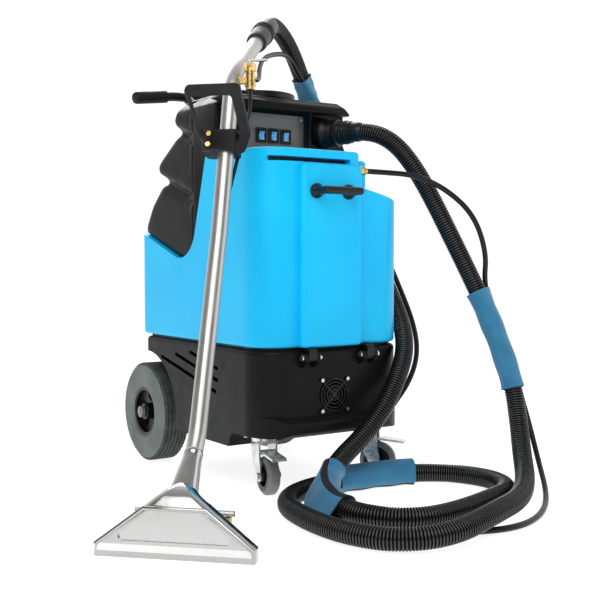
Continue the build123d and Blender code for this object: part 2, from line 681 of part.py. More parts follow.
def caster_fork(side):
    race_top = NOSE_FLOOR - 5 - GAP
    fork = Pos(0, 0, race_top - 5) * Cylinder(29, 10)
    fork += Pos(0, -8, race_top - 12) * Box(48, 44, 5)
    leg_x = CASTER_W / 2 + 3
    for x in (-leg_x - 4, leg_x):
        leg = [
            (20, race_top - 10, 6), (20, 96, 10), (-CASTER_TRAIL + 13, CASTER_R - 13, 12.9),
            (-CASTER_TRAIL - 13, CASTER_R - 13, 12.9), (-30, 98, 10), (-30, race_top - 10),
        ]
        fork += side_block(leg, x, x + 4)
    fork -= Pos(0, 0, race_top) * Cylinder(7 + RUN_FIT, 60)
    fork -= Pos(0, 0, NOSE_FLOOR - 23) * Cylinder(11.5, 4)
    fork -= Pos(0, -CASTER_TRAIL, CASTER_R) * Rot(0, 90, 0) * Cylinder(5 + RUN_FIT, 90)
    fork += rod((-leg_x - 2, *PEDAL_PIVOT), (leg_x + 2, *PEDAL_PIVOT), 6)
    return caster_place(side) * fork


def caster_axle(side):
    leg_x = CASTER_W / 2 + 7
    axle = rod((-leg_x - 2, -CASTER_TRAIL, CASTER_R), (leg_x + 7, -CASTER_TRAIL, CASTER_R), 10)
    for near, far in ((-leg_x - 6, -leg_x - 0.1), (leg_x + 0.1, leg_x + 6)):
        plane = Plane(origin=(near, -CASTER_TRAIL, CASTER_R), z_dir=(1, 0, 0), x_dir=(0, 0, 1))
        axle += extrude(plane * RegularPolygon(8.5, 6), far - near)
    return caster_place(side) * axle


def caster_wheel(side):
    half = CASTER_W / 2
    tread = turned([
        (-half + 2, 33), (half - 2, 33), (half, CASTER_R - 8, 4), (half - 7, CASTER_R, 6), (7 - half, CASTER_R, 6),
        (-half, CASTER_R - 8, 4),
    ])
    core = turned([(2 - half, 24), (half - 2, 24), (half - 2, 33), (2 - half, 33)])
    core += turned([(-3, 10), (3, 10), (3, 26), (-3, 26)])
    core += turned([(-half - 2, 5 + RUN_FIT), (half + 2, 5 + RUN_FIT), (half + 2, 12, 2), (-half - 2, 12, 2)])
    at = caster_place(side) * Pos(0, -CASTER_TRAIL, CASTER_R)
    return at * tread, at * core


def brake_pedal(side):
    y, z = PEDAL_PIVOT
    profile = [
        (y + 6, z + 4, 3), (y - 22, z + 4, 5), (y - 82, z - 2, 2), (y - 86, z - 9, 1), (y - 80, z - 7, 2),
        (y - 24, z - 2, 5), (y - 8, z - 5, 4), (y + 6, z - 5, 3),
    ]
    pedal = side_block(profile, -CASTER_W / 2 - 1.5, CASTER_W / 2 + 1.5)
    pedal -= rod((-50, y, z), (50, y, z), 6 + 2 * RUN_FIT)
    return caster_place(side) * pedal


def vacuum_motors():
    motor = Pos(92, 262, BASE_FLOOR + WALL) * (Pos(0, 0, 40) * Cylinder(72, 80) + Pos(0, 0, 115) * Cylinder(50, 70))
    return both_sides(motor)


def solution_pump():
    pump = Pos(0, 450, BASE_FLOOR + WALL) * (Pos(0, 0, 35) * Box(90, 120, 70) + Pos(0, 0, 90) * Cylinder(32, 40))
    return pump


def heater_core():
    core = Pos(0, 90, NOSE_FLOOR + WALL) * (Pos(0, 0, 30) * Box(250, 60, 60))
    for i in range(9):
        core += Pos(-112 + 28 * i, 90, NOSE_FLOOR + WALL + 66) * Box(6, 56, 12)
    return core


def recovery_lid():
    top = HOOD_TOP + 8
    lid = Pos(LID_X, LID_Y, top + 5) * Cylinder(LID_D / 2, 10)
    lid = fillet(lid.faces().sort_by(Axis.Z)[-1].edges(), 4)
    skirt = Pos(LID_X, LID_Y, top) * pipe(LID_D, NECK_D + 2 * GAP, 10)
    lid += skirt
    lid += Pos(LID_X, LID_Y, top + 14) * Box(96, 14, 12)
    return lid


def stand_pipe():
    standing = Pos(*STAND_AT, 700) * pipe(PIPE_D, PIPE_D - 5, 350)
    foot = Pos(*STAND_AT, 560) * pipe(PIPE_D + 16, PIPE_D - 5, 80)
    standing = (standing + foot) & recovery_hollow()
    return standing + Pos(*STAND_AT, 606) * pipe(PIPE_D + 12, PIPE_D - 5, 6)


def float_ring():
    ring = Pos(*STAND_AT, 636) * pipe(FLOAT_D, PIPE_D + 2 * GAP, 52)
    return fillet(ring.edges().filter_by(GeomType.CIRCLE).sort_by(SortBy.RADIUS)[-2:], 8)


def dump_valve():
    x, y, z = DUMP_AT
    valve = rod((x, y - 62, z), (x, y + 40, z), DUMP_D)
    valve += Pos(x, y + 44, z + 2) * fillet(Box(72, 26, 74).edges().filter_by(Axis.Y), 10)
    valve += rod((x, y + 50, z), (x, y + 92, z), DUMP_D)
    valve -= rod((x, y - 70, z), (x, y + 99, z), HOSE_BORE_D)
    return valve - Pos(x, y + 44, z + 20) * Box(56 + 2 * GAP, 4 + 2 * GAP, 92)


def dump_gate():
    x, y, z = DUMP_AT
    gate = Pos(x, y + 44, z + 20) * Box(56, 4, 90)
    return gate + Pos(x, y + 44, z + 68) * fillet(Box(70, 14, 12).edges(), 3)


def head_section(y, z, wide, deep, radius, tilt=0):
    return Pos(0, y, z) * Rot(-tilt, 0, 0) * RectangleRounded(wide, deep, radius)


def wand_head():
    lip = [head_section(0, 0, LIP_W, 28, 6), head_section(5, 24, LIP_W, 36, 12), head_section(20, 92, 122, 44, 18)]
    neck = [lip[-1], head_section(36, 105, 80, 46, 20, 24), head_section(*TUBE_LINE[0], 44, 44, 21.4, NECK_TILT)]
    head = loft(lip, ruled=True) + loft(neck)
    slot_w = LIP_W - 20
    mouth = [head_section(0, -1, slot_w, 9, 3), head_section(5, 24, slot_w, 14, 5), head_section(20, 90, 96, 24, 8)]
    throat = [mouth[-1], head_section(38, 104, 56, 28, 12, 24), head_section(60, 114, 31, 31, 15, NECK_TILT)]
    head -= loft(mouth, ruled=True) + loft(throat)
    face = Plane(origin=(0, -3.6, 57.5), x_dir=(1, 0, 0), z_dir=(0, -0.989, 0.145))
    panel = [(-122, -28, 8), (122, -28, 8), (46, 27, 8), (-46, 27, 8)]
    return head - extrude(face * outline(panel), 30)


def tube_path(line=TUBE_LINE, radii=TUBE_RADII):
    path, _ = bend([(0, y, z) for y, z in line], radii)
    return path


def cuff_place():
    """The cuff's axis, x along the way the hose leaves."""
    end_y, end_z = TUBE_LINE[-1]
    way = Vector(0, end_y - TUBE_LINE[-2][0], end_z - TUBE_LINE[-2][1]).normalized()
    return Plane(origin=Vector(0, end_y, end_z) - way * CUFF_LAP, x_dir=way, z_dir=(1, 0, 0)).location


def wand_cuff():
    cuff_r = CUFF_D / 2
    profile = [(0, 24), (10, 25, 3), (60, cuff_r, 4), (66, cuff_r + 1, 1), (CUFF_LEN, 25, 4), (CUFF_LEN, 0), (0, 0)]
    cuff = turned(profile) - Pos(CUFF_LAP / 2 - 1, 0, 0) * Rot(0, 90, 0) * Cylinder(TUBE_D / 2, CUFF_LAP + 2)
    cuff -= Rot(0, 90, 0) * Cylinder(HOSE_BORE_D / 2 - 2, 300)
    return cuff_place() * cuff


def loop_handle():
    frame = outline([(-40, -22, 12), (36, -22, 12), (58, 26, 30), (58, 156, 12), (-60, 156, 12), (-58, 30, 30)])
    frame -= outline([(-32, 14, 12), (28, 14, 12), (38, 38, 20), (38, 136, 8), (-52, 136, 8), (-49, 38, 20)])
    handle = extrude(LOOP_PLANE * frame, 9, both=True)
    grip = handle.faces().sort_by(Axis((0, *CLAMP_AT), LOOP_PLANE.y_dir))[-1]
    handle = fillet(grip.edges().filter_by(Axis.X), 6)
    block = fillet(Box(76, 52, 46).edges().filter_by(Axis.Z), 10)
    handle += Pos(0, *CLAMP_AT) * Rot(-TUBE_TILT, 0, 0) * Pos(-9, 0, 0) * block
    handle -= Pos(0, *CLAMP_AT) * Rot(-TUBE_TILT, 0, 0) * Cylinder(TUBE_D / 2 + RUN_FIT, 200)
    handle -= tube(spray_path(), 8 + 2 * GAP)
    for x, rise in CLAMP_BOLTS:
        handle -= clamp_bolt_place(x, rise) * Cylinder(3 + RUN_FIT, 24)
    return handle


def clamp_bolt_place(x, rise):
    return Pos(0, *CLAMP_AT) * Rot(-TUBE_TILT, 0, 0) * Pos(x, -26, rise) * Rot(90, 0, 0)


def clamp_bolts():
    bolt = extrude(RegularPolygon(6, 6), 4.5) + Pos(0, 0, -5) * Cylinder(3, 10.2)
    return [clamp_bolt_place(x, rise) * bolt for x, rise in CLAMP_BOLTS]


def wand_valve():
    body = Pos(*VALVE_AT) * (Cylinder(10, 56) + Pos(0, 0, 20) * Box(24, 18, 16) + Pos(0, 0, -16) * Cylinder(12, 10))
    x, y, z = VALVE_AT
    body += Pos(x - 14, y, z - 8) * Box(24, 16, 14)
    body += rod((x, y, z + 2), (x, y + VALVE_TAIL, z + 2), 14)
    body -= tube(tube_path(), TUBE_D + 2 * RUN_FIT)
    body -= Pos(x, y, z + 30) * Box(8 + 2 * GAP, 40, 20)
    return body + rod((x - 11, y, z + 24), (x + 11, y, z + 24), 3)


def valve_lever():
    x, y, z = VALVE_AT
    profile = [
        (y - 10, z + 36, 3), (y + 2, z + 36, 3), (y + 6, z + 26, 3), (y, z + 20.6), (y - 5, z + 22),
        (y - 10, z + 30, 2),
    ]
    key = side_block(profile, x - 4, x + 4)
    key += Pos(x + 16, y - 4, z + 34) * fillet(Box(46, 12, 4).edges().filter_by(Axis.Z), 4)
    return key - rod((x - 30, y, z + 24), (x + 30, y, z + 24), 3 + 2 * RUN_FIT)


def spray_path():
    x, y, z = VALVE_AT
    bar_y, bar_z = SPRAY_AT
    points = [
        (x, y, z - 28), (x, y, z - 70), (-8, 332, 600), (-8, 177, 214), (-8, 103, 114), (-8, bar_y, bar_z + 6),
    ]
    path, _ = bend(points, [50, 300, 60, 30])
    return path


def spray_line():
    return tube(spray_path(), 8, 5)


def spray_bar():
    y, z = SPRAY_AT
    bar_tube = rod((-96, y, z), (96, y, z), 12)
    for x in (-60, 60):
        bar_tube += Pos(x, y - 14, z) * Box(14, 28, 6)
    bar_tube -= tube(spray_path(), 8)
    return bar_tube - wand_head()


def spray_jets():
    y, z = SPRAY_AT
    jets = []
    for x in (-84, -28, 34, 84):
        jet = Pos(x, y, z - 6) * (extrude(RegularPolygon(7, 6), -9) + Pos(0, 0, -13) * Cylinder(4, 8))
        jets.append(jet - rod((-100, y, z), (100, y, z), 12))
    return jets


def run_out(place, distances):
    """Points straight out along a fitting's z axis."""
    return [(place * Pos(0, 0, distance)).position for distance in distances]


def hose_route():
    port = run_out(port_place(), (PORT_LEN, PORT_LEN + PORT_RUN))
    cuff = run_out(WAND * cuff_place() * Rot(0, 90, 0), (CUFF_LEN + 70, CUFF_LEN))
    return [*port, *HOSE_ROUTE, *cuff]


def line_route():
    x, y, z = VALVE_AT
    outlet = run_out(Pos(*OUTLET_AT) * Rot(0, 90, 0), (OUTLET_LEN, OUTLET_LEN + 46))
    valve = run_out(WAND * Pos(x, y, z + 2) * Rot(-90, 0, 0), (VALVE_TAIL + 49, VALVE_TAIL))
    return [*outlet, *LINE_ROUTE, *valve]


def hose_paths(points, cuts):
    """Paths of straight runs and tangent arcs, parted half way along some runs."""
    points = [Vector(p) for p in points]
    radii = []
    for before, here, after in zip(points, points[1:], points[2:]):
        turn = radians((here - before).get_angle(after - here))
        reach = 0.45 * min((here - before).length, (after - here).length)
        radii.append(reach / tan(turn / 2))
    paths = []
    start, first = [], 0
    for cut in (*cuts, None):
        last = len(points) if cut is None else cut + 1
        end = [] if cut is None else [(points[cut] + points[cut + 1]) / 2]
        inner = points[first:last]
        corner_radii = radii[max(first - 1, 0):last - 1]
        paths.append(FilletPolyline(*start, *inner, *end, radius=corner_radii))
        start, first = end, last
    return paths, radii


def least_gap(paths):
    """Least gap, measured on points, between stretches of the hose that are not neighbours."""
    points = [path @ (i / 120) for path in paths for i in range(120)]
    return min((p - q).length for i, p in enumerate(points) for q in points[i + 15:]) - HOSE_D


def ribbed_hose(path, ribs):
    """Ribbed hose with a plain bore; each rib is four rings on a steady axis."""
    steps = 4 * ribs
    across = Plane(origin=path @ 0, z_dir=path % 0).x_dir
    rings = []
    for i in range(steps + 1):
        way = path % (i / steps)
        across = (across - way * across.dot(way)).normalized()
        plane = Plane(origin=path @ (i / steps), x_dir=across, z_dir=way)
        crest = (0, 0.5, 1, 0.5)[i % 4]
        rings.append(plane * Circle(HOSE_R - HOSE_RIB + HOSE_RIB * crest))
    return loft(rings, ruled=True) - tube(path, HOSE_BORE_D)


def sleeve(path, start, end, line=None):
    """Wrap round a stretch of hose, with room for the line beside it."""
    middle = path @ ((start + end) / 2)
    run = path.trim(start, end)
    room = HOSE_D + 2 * SLEEVE_ROOM
    plane = Plane(origin=run @ 0, z_dir=run % 0)
    outer, inner = Circle(room / 2 + SLEEVE_T), Circle(room / 2)
    if line:
        beside = min((line @ (i / 900) - middle for i in range(901)), key=lambda way: way.length)
        spread = beside.length - HOSE_R + LINE_R + LINE_ROOM
        plane = Plane(origin=run @ 0, x_dir=beside, z_dir=run % 0)
        outer = Pos(spread / 2, 0) * SlotCenterToCenter(spread, room + 2 * SLEEVE_T)
        inner = Pos(spread / 2, 0) * SlotCenterToCenter(spread, room)
    return sweep(plane * (outer - inner), path=run)


hose_runs, hose_radii = hose_paths(hose_route(), HOSE_CUTS)
line_runs, line_radii = hose_paths(line_route(), LINE_CUTS)
print("hose bend radii", [round(r) for r in hose_radii], "length", round(sum(p.length for p in hose_runs)))
print("hose's least gap to itself", round(least_gap(hose_runs), 1))
print("line bend radii", [round(r) for r in line_radii], "length", round(sum(p.length for p in line_runs)))

pieces = {
    "base_housing": base_housing(),
    "solution_tank": solution_tank(),
    "recovery_tank": recovery_tank(),
    "hinge_lugs": hinge_lugs(),
    "hinge_pins": hinge_pins(),
    "switch_panel": panel_plate(),
    "face_screws": face_screws(),
    "switch_bezels": switch_bezels(),
    "suction_port": suction_port(),
    "push_handle": push_handle(),
    "handle_grips": handle_grips(),
    "pull_handle": pull_handle(),
    "solution_outlet": solution_outlet(),
    "fan_guard": fan_guard(),
    "fan_frame": fan_frame(),
    "fan_rotor": fan_rotor(),
    "rear_axle": rear_axle(),
    "caster_plates": caster_plates(),
    "caster_bolts": caster_bolts(),
    "vacuum_motors": vacuum_motors(),
    "solution_pump": solution_pump(),
    "heater_core": heater_core(),
    "recovery_lid": recovery_lid(),
    "stand_pipe": stand_pipe(),
    "float_ring": float_ring(),
    "dump_valve": dump_valve(),
    "dump_gate": dump_gate(),
}
for number, x in enumerate(SWITCH_X, 1):
    pieces[f"rocker_{number}"] = rocker(x)
for side in ("left", "right"):
    pieces[f"tyre_{side}"] = rear_wheel(tyre(), side)
    pieces[f"wheel_rim_{side}"] = rear_wheel(wheel_rim(), side)
    pieces[f"caster_fork_{side}"] = caster_fork(side)
    pieces[f"caster_axle_{side}"] = caster_axle(side)
    pieces[f"caster_tyre_{side}"], pieces[f"caster_core_{side}"] = caster_wheel(side)
    pieces[f"brake_pedal_{side}"] = brake_pedal(side)
wand_pieces = {
    "wand_head": wand_head(),
    "wand_tube": tube(tube_path(), TUBE_D, TUBE_D - 2 * TUBE_WALL),
    "wand_cuff": wand_cuff(),
    "loop_handle": loop_handle(),
    "clamp_bolts": clamp_bolts(),
    "wand_valve": wand_valve(),
    "valve_lever": valve_lever(),
    "spray_line": spray_line(),
    "spray_bar": spray_bar(),
    "spray_jets": spray_jets(),
}
for name, shape in wand_pieces.items():
    pieces[name] = [WAND * s for s in shape] if isinstance(shape, list) else WAND * shape
cords = {"hose_sleeves": [
    sleeve(hose_runs[0], 0.489, 0.71, line_runs[0]),
    sleeve(hose_runs[1], 0.576, 0.697),
    sleeve(hose_runs[2], 0.136, 0.206),
    sleeve(hose_runs[2], 0.800, 0.840, line_runs[1]),
]}
for name, run, ribs in zip(("front", "coil", "rear"), hose_runs, HOSE_RIBS):
    cords[f"vacuum_hose_{name}"] = ribbed_hose(run, ribs)
for name, run in zip(("front", "rear"), line_runs):
    cords[f"solution_hose_{name}"] = tube(run, LINE_D, LINE_BORE_D)


def solids_of(shape):
    return [solid for item in (shape if isinstance(shape, list) else [shape]) for solid in item.solids()]


# The origin is the middle of the footprint of everything but the hoses.
boxes = [solid.bounding_box() for shape in pieces.values() for solid in solids_of(shape)]
left, right = min(box.min.X for box in boxes), max(box.max.X for box in boxes)
near, far = min(box.min.Y for box in boxes), max(box.max.Y for box in boxes)
low, high = min(box.min.Z for box in boxes), max(box.max.Z for box in boxes)
ORIGIN = Pos(-(left + right) / 2, -(near + far) / 2, -low)
print("origin in the machine frame", ORIGIN.position * -1, "size", right - left, far - near, high - low)
for name, shape in {**pieces, **cords}.items():
    export_step(ORIGIN * Compound(solids_of(shape)), f"parts/{name}.step")
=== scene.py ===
import json
import math

import bmesh
import bpy
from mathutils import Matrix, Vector


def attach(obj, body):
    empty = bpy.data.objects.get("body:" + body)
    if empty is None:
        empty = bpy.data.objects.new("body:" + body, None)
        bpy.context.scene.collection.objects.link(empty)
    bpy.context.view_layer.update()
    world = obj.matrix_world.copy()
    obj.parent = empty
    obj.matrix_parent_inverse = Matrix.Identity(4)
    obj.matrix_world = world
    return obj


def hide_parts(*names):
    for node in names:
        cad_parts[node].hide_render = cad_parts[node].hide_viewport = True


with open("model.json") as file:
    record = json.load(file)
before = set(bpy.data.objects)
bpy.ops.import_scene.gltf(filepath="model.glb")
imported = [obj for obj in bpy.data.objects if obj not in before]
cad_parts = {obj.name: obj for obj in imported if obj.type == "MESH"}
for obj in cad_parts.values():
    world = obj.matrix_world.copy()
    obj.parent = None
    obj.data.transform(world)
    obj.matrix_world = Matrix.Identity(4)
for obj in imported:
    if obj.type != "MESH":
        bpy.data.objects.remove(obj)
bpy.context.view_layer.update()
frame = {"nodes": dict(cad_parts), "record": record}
nodes = frame["nodes"]
machineZero = Vector((0.218374, -0.167526, 0))  # fan face and middle of the machine, in the set's frame


def place(x, y, z):
    return machineZero + Vector((x, y, z))


def deselect():
    if bpy.context.mode != "OBJECT":
        bpy.ops.object.mode_set(mode="OBJECT")
    bpy.ops.object.select_all(action="DESELECT")


def pick(piece):
    deselect()
    piece.select_set(True)
    bpy.context.view_layer.objects.active = piece


def shadeByAngle(piece, sharpAngle):
    pick(piece)
    bpy.ops.object.shade_smooth_by_angle(angle=math.radians(sharpAngle))


def newObject(name, data):
    piece = bpy.data.objects.new(name, data)
    bpy.context.scene.collection.objects.link(piece)
    return piece


def circleTurns(count):
    return [2 * math.pi * j / count for j in range(count)]


# camera, lights and floor

view = {"place": (-1.3680, -1.8764, 0.5422), "heading": -33.95, "tilt": 87.605, "lens": 60.2, "sensor": 36}
studio = {
    "floorSide": 40, "floorDrop": -0.0005, "aim": (0, 0.3, 0.5),
    "skyAxis": (0.53, 0.79, 0.30), "skyLevel": 0.94,
    "skyTones": ((0.0, 0.05), (0.42, 0.16), (0.72, 0.62), (0.9, 1.16)),
    "key": {"place": (-1.6, -1.7, 2.6), "size": 2.8, "power": 66},
    "fill": {"place": (2.4, -1.6, 1.5), "size": 2.2, "power": 15},
    "rim": {"place": (0.6, 2.4, 2.4), "size": 1.8, "power": 36},
    "card": {"place": (-2.9, -1.5, 0.55), "size": 1.3, "power": 2.5},
}


def addCamera():
    deselect()
    turn = (math.radians(view["tilt"]), 0, math.radians(view["heading"]))
    bpy.ops.object.camera_add(location=place(*view["place"]), rotation=turn)
    camera = bpy.context.object
    camera.data.lens = view["lens"]
    camera.data.sensor_width = view["sensor"]
    bpy.context.scene.camera = camera


def addLights():
    for name in ("key", "fill", "rim", "card"):
        light = studio[name]
        spot = place(*light["place"])
        aim = (place(*studio["aim"]) - spot).to_track_quat("-Z", "Y").to_euler()
        bpy.ops.object.light_add(type="AREA", location=spot, rotation=aim)
        lamp = bpy.context.object
        lamp.name = name + "Light"
        lamp.data.size = light["size"]
        lamp.data.energy = light["power"]
    bpy.context.scene.view_settings.view_transform = "Standard"


def addSky():
    world = bpy.data.worlds.new("studioSky")
    world.use_nodes = True
    tree = world.node_tree
    coords = tree.nodes.new("ShaderNodeTexCoord")
    facing = tree.nodes.new("ShaderNodeVectorMath")
    facing.operation = "DOT_PRODUCT"
    facing.inputs[1].default_value = studio["skyAxis"]
    level = tree.nodes.new("ShaderNodeMapRange")
    level.inputs["From Min"].default_value = -1
    ramp = tree.nodes.new("ShaderNodeValToRGB")
    ramp.color_ramp.interpolation = "EASE"
    tones = ramp.color_ramp.elements
    while len(tones) < len(studio["skyTones"]):
        tones.new(0.5)
    for tone, (spot, grey) in zip(tones, studio["skyTones"]):
        tone.position = spot
        tone.color = (grey, grey, grey, 1)
    sky = tree.nodes["Background"]
    sky.inputs["Strength"].default_value = studio["skyLevel"]
    tree.links.new(coords.outputs["Generated"], facing.inputs[0])
    tree.links.new(facing.outputs["Value"], level.inputs["Value"])
    tree.links.new(level.outputs["Result"], ramp.inputs["Fac"])
    tree.links.new(ramp.outputs["Color"], sky.inputs["Color"])
    bpy.context.scene.world = world


def addFloor():
    deselect()
    bpy.ops.mesh.primitive_plane_add(size=studio["floorSide"], location=(0, 0, studio["floorDrop"]))
    floor = bpy.context.object
    floor.name = "floor"
    floor.data.materials.append(newFinish("floorPaper"))


# finishes; a tone or a gloss takes the place of the plain colour or roughness

finishLooks = {
    "floorPaper": {
        "colour": (0.5, 0.5, 0.5), "rough": 0.9, "shine": 0,
        "tone": {"scale": 3, "dark": (0.49, 0.49, 0.49), "light": (0.51, 0.51, 0.51)},
        "inputs": {"Emission Color": (1, 1, 1, 1), "Emission Strength": 0.85},
    },
    "mouldedBlue": {
        "colour": (0.003, 0.54, 0.95), "rough": 0.33, "shine": 0.3,
        "tone": {"scale": 5, "dark": (0.001, 0.52, 0.95), "light": (0.003, 0.58, 0.99)},
        "gloss": {"scale": 40, "low": 0.32, "high": 0.42},
        "bump": {"scale": 420, "detail": 2, "strength": 0.12, "height": 0.0006},
    },
    "mouldedBlack": {
        "colour": (0.005, 0.005, 0.005), "rough": 0.4, "shine": 0.16,
        "tone": {"scale": 6, "dark": (0.0042, 0.0042, 0.004), "light": (0.0065, 0.0065, 0.0062)},
        "gloss": {"scale": 30, "low": 0.34, "high": 0.46},
        "bump": {"scale": 520, "strength": 0.22, "height": 0.0007},
    },
    "satinBlack": {
        "colour": (0.004, 0.004, 0.004), "rough": 0.34, "shine": 0.35,
        "tone": {"scale": 9, "dark": (0.0035, 0.0035, 0.0036), "light": (0.005, 0.005, 0.0052)},
        "gloss": {"scale": 60, "low": 0.28, "high": 0.4},
        "bump": {"scale": 800, "detail": 2, "strength": 0.06, "height": 0.0004},
    },
    "powderBlack": {
        "colour": (0.005, 0.005, 0.005), "rough": 0.42, "shine": 0.35,
        "tone": {"scale": 12, "dark": (0.0042, 0.0042, 0.0044), "light": (0.006, 0.006, 0.0063)},
        "bump": {"scale": 1300, "detail": 2, "strength": 0.2, "height": 0.0003},
    },
    "gripRubber": {
        "colour": (0.005, 0.005, 0.005), "rough": 0.58, "shine": 0.35,
        "tone": {"scale": 14, "dark": (0.004, 0.004, 0.004), "light": (0.0065, 0.0065, 0.0065)},
        "gloss": {"scale": 50, "low": 0.5, "high": 0.7},
        "bump": {"scale": 900, "strength": 0.15, "height": 0.0004},
    },
    "tyreGrey": {
        "colour": (0.15, 0.178, 0.168), "rough": 0.78,
        "tone": {"scale": 16, "detail": 5, "dark": (0.125, 0.15, 0.142), "light": (0.18, 0.205, 0.195)},
        "bump": {"scale": 700, "detail": 4, "strength": 0.3, "height": 0.0005},
    },
    "casterGrey": {
        "colour": (0.17, 0.17, 0.168), "rough": 0.6,
        "tone": {"scale": 22, "detail": 4, "dark": (0.15, 0.15, 0.148), "light": (0.2, 0.2, 0.197)},
        "bump": {"scale": 900, "strength": 0.15, "height": 0.0004},
    },
    "brightZinc": {
        "colour": (0.7, 0.71, 0.7), "rough": 0.28, "metal": 1.0,
        "tone": {"scale": 45, "detail": 5, "dark": (0.58, 0.6, 0.6), "light": (0.78, 0.78, 0.76)},
        "gloss": {"scale": 90, "detail": 4, "low": 0.2, "high": 0.38},
        "bump": {"scale": 1100, "detail": 2, "strength": 0.05, "height": 0.0003},
    },
    "polishedSteel": {
        "colour": (0.54, 0.53, 0.51), "rough": 0.36, "metal": 1.0,
        "gloss": {"scale": 60, "detail": 5, "stretch": (1, 1, 0.08), "low": 0.32, "high": 0.42},
        "bump": {"scale": 900, "detail": 2, "stretch": (1, 1, 0.05), "strength": 0.03, "height": 0.0002},
    },
    # lighter copy of the wand's steel: painted highlight on the head's panel
    "litPanelSteel": {
        "colour": (0.76, 0.76, 0.755), "rough": 0.26, "metal": 1.0,
        "gloss": {"scale": 40, "detail": 5, "stretch": (0.1, 1, 1), "low": 0.2, "high": 0.32},
        "bump": {"scale": 700, "detail": 2, "stretch": (0.05, 1, 1), "strength": 0.04, "height": 0.0002},
    },
    # darker copy of the wand's steel: painted shade on the head's edges, non-panel faces and neck
    "shadedRimSteel": {
        "colour": (0.45, 0.45, 0.44), "rough": 0.15, "metal": 1.0,
        "gloss": {"scale": 50, "detail": 4, "low": 0.1, "high": 0.18},
        "bump": {"scale": 500, "detail": 2, "strength": 0.03, "height": 0.0002},
    },
    "treadGrey": {
        "colour": (0.055, 0.066, 0.06), "rough": 0.85, "shine": 0.3,
        "tone": {"scale": 40, "detail": 5, "dark": (0.042, 0.052, 0.047), "light": (0.07, 0.083, 0.076)},
        "bump": {"scale": 700, "detail": 4, "strength": 0.4, "height": 0.0006},
    },
    "castBrass": {
        "colour": (0.72, 0.48, 0.16), "rough": 0.25, "metal": 1.0,
        "tone": {"scale": 70, "detail": 5, "dark": (0.55, 0.35, 0.1), "light": (0.82, 0.58, 0.24)},
        "gloss": {"scale": 120, "detail": 4, "low": 0.18, "high": 0.36},
    },
    "panelGrey": {
        "colour": (0.145, 0.138, 0.133), "rough": 0.42, "metal": 0.35,
        "tone": {
            "scale": 60, "detail": 4, "stretch": (0.1, 1, 1),
            "dark": (0.13, 0.125, 0.12), "light": (0.165, 0.155, 0.15),
        },
        "bump": {"scale": 900, "detail": 2, "stretch": (0.05, 1, 1), "strength": 0.06, "height": 0.0002},
    },
    "plainWhite": {
        "colour": (0.72, 0.72, 0.69), "rough": 0.45,
        "tone": {"scale": 10, "dark": (0.68, 0.68, 0.65), "light": (0.76, 0.76, 0.73)},
    },
    "motorGrey": {
        "colour": (0.25, 0.25, 0.26), "rough": 0.45, "metal": 0.6,
        "tone": {"scale": 20, "detail": 4, "dark": (0.2, 0.2, 0.21), "light": (0.3, 0.3, 0.31)},
    },
    "hoseBlack": {
        "colour": (0.014, 0.014, 0.014), "rough": 0.24,
        "tone": {"scale": 18, "dark": (0.012, 0.012, 0.012), "light": (0.017, 0.017, 0.017)},
        "gloss": {"scale": 70, "low": 0.18, "high": 0.3},
        "inputs": {"Coat Weight": 0.15, "Coat Roughness": 0.15},
    },
    # near-black painted shade for the hose's rib grooves
    "grooveShadeBlack": {
        "colour": (0.001, 0.001, 0.001), "rough": 0.7, "shine": 0.05,
        "tone": {"scale": 18, "dark": (0.0008, 0.0008, 0.0008), "light": (0.0014, 0.0014, 0.0014)},
    },
    "lineBlack": {
        "colour": (0.005, 0.005, 0.005), "rough": 0.33, "shine": 0.3,
        "tone": {"scale": 30, "dark": (0.004, 0.004, 0.004), "light": (0.0065, 0.0065, 0.0065)},
        "bump": {"scale": 600, "strength": 0.1, "height": 0.0003},
    },
    "wovenBlue": {
        "colour": (0.035, 0.27, 0.52), "rough": 0.72,
        "tone": {"scale": 24, "detail": 4, "dark": (0.016, 0.168, 0.32), "light": (0.025, 0.21, 0.385)},
        "weave": {"scale": 330, "distortion": 1.2, "strength": 0.25, "height": 0.0006},
        "inputs": {"Sheen Weight": 0.25},
    },
    "cuffGrey": {
        "colour": (0.018, 0.018, 0.018), "rough": 0.36, "shine": 0.35,
        "tone": {"scale": 20, "dark": (0.015, 0.015, 0.015), "light": (0.021, 0.021, 0.021)},
        "gloss": {"scale": 60, "low": 0.34, "high": 0.46},
        "bump": {"scale": 900, "detail": 2, "strength": 0.08, "height": 0.0003},
    },
    # dark finish for the hook-tape bands and for the sleeves' inner faces and end rims
    "hookTapeAndDarkEnds": {
        "colour": (0.012, 0.012, 0.013), "rough": 0.9,
        "tone": {"scale": 300, "dark": (0.008, 0.008, 0.009), "light": (0.02, 0.02, 0.021)},
        "bump": {"scale": 1500, "detail": 2, "strength": 0.5, "height": 0.0008},
    },
    "lensBlue": {
        "colour": (0.08, 0.42, 0.85), "rough": 0.16,
        "tone": {"scale": 160, "detail": 2, "dark": (0.05, 0.3, 0.75), "light": (0.2, 0.58, 0.95)},
        "inputs": {"Coat Weight": 0.6, "Coat Roughness": 0.06},
    },
}
noiseSpans = {"tone": (0.35, 0.65), "gloss": (0.3, 0.7)}


def addNoise(tree, look):
    coords = tree.nodes.new("ShaderNodeTexCoord")
    noise = tree.nodes.new("ShaderNodeTexNoise")
    noise.inputs["Scale"].default_value = look["scale"]
    noise.inputs["Detail"].default_value = look.get("detail", 3)
    if "stretch" in look:
        mapping = tree.nodes.new("ShaderNodeMapping")
        mapping.inputs["Scale"].default_value = look["stretch"]
        tree.links.new(coords.outputs["Object"], mapping.inputs["Vector"])
        tree.links.new(mapping.outputs["Vector"], noise.inputs["Vector"])
    else:
        tree.links.new(coords.outputs["Object"], noise.inputs["Vector"])
    return noise.outputs["Fac"]


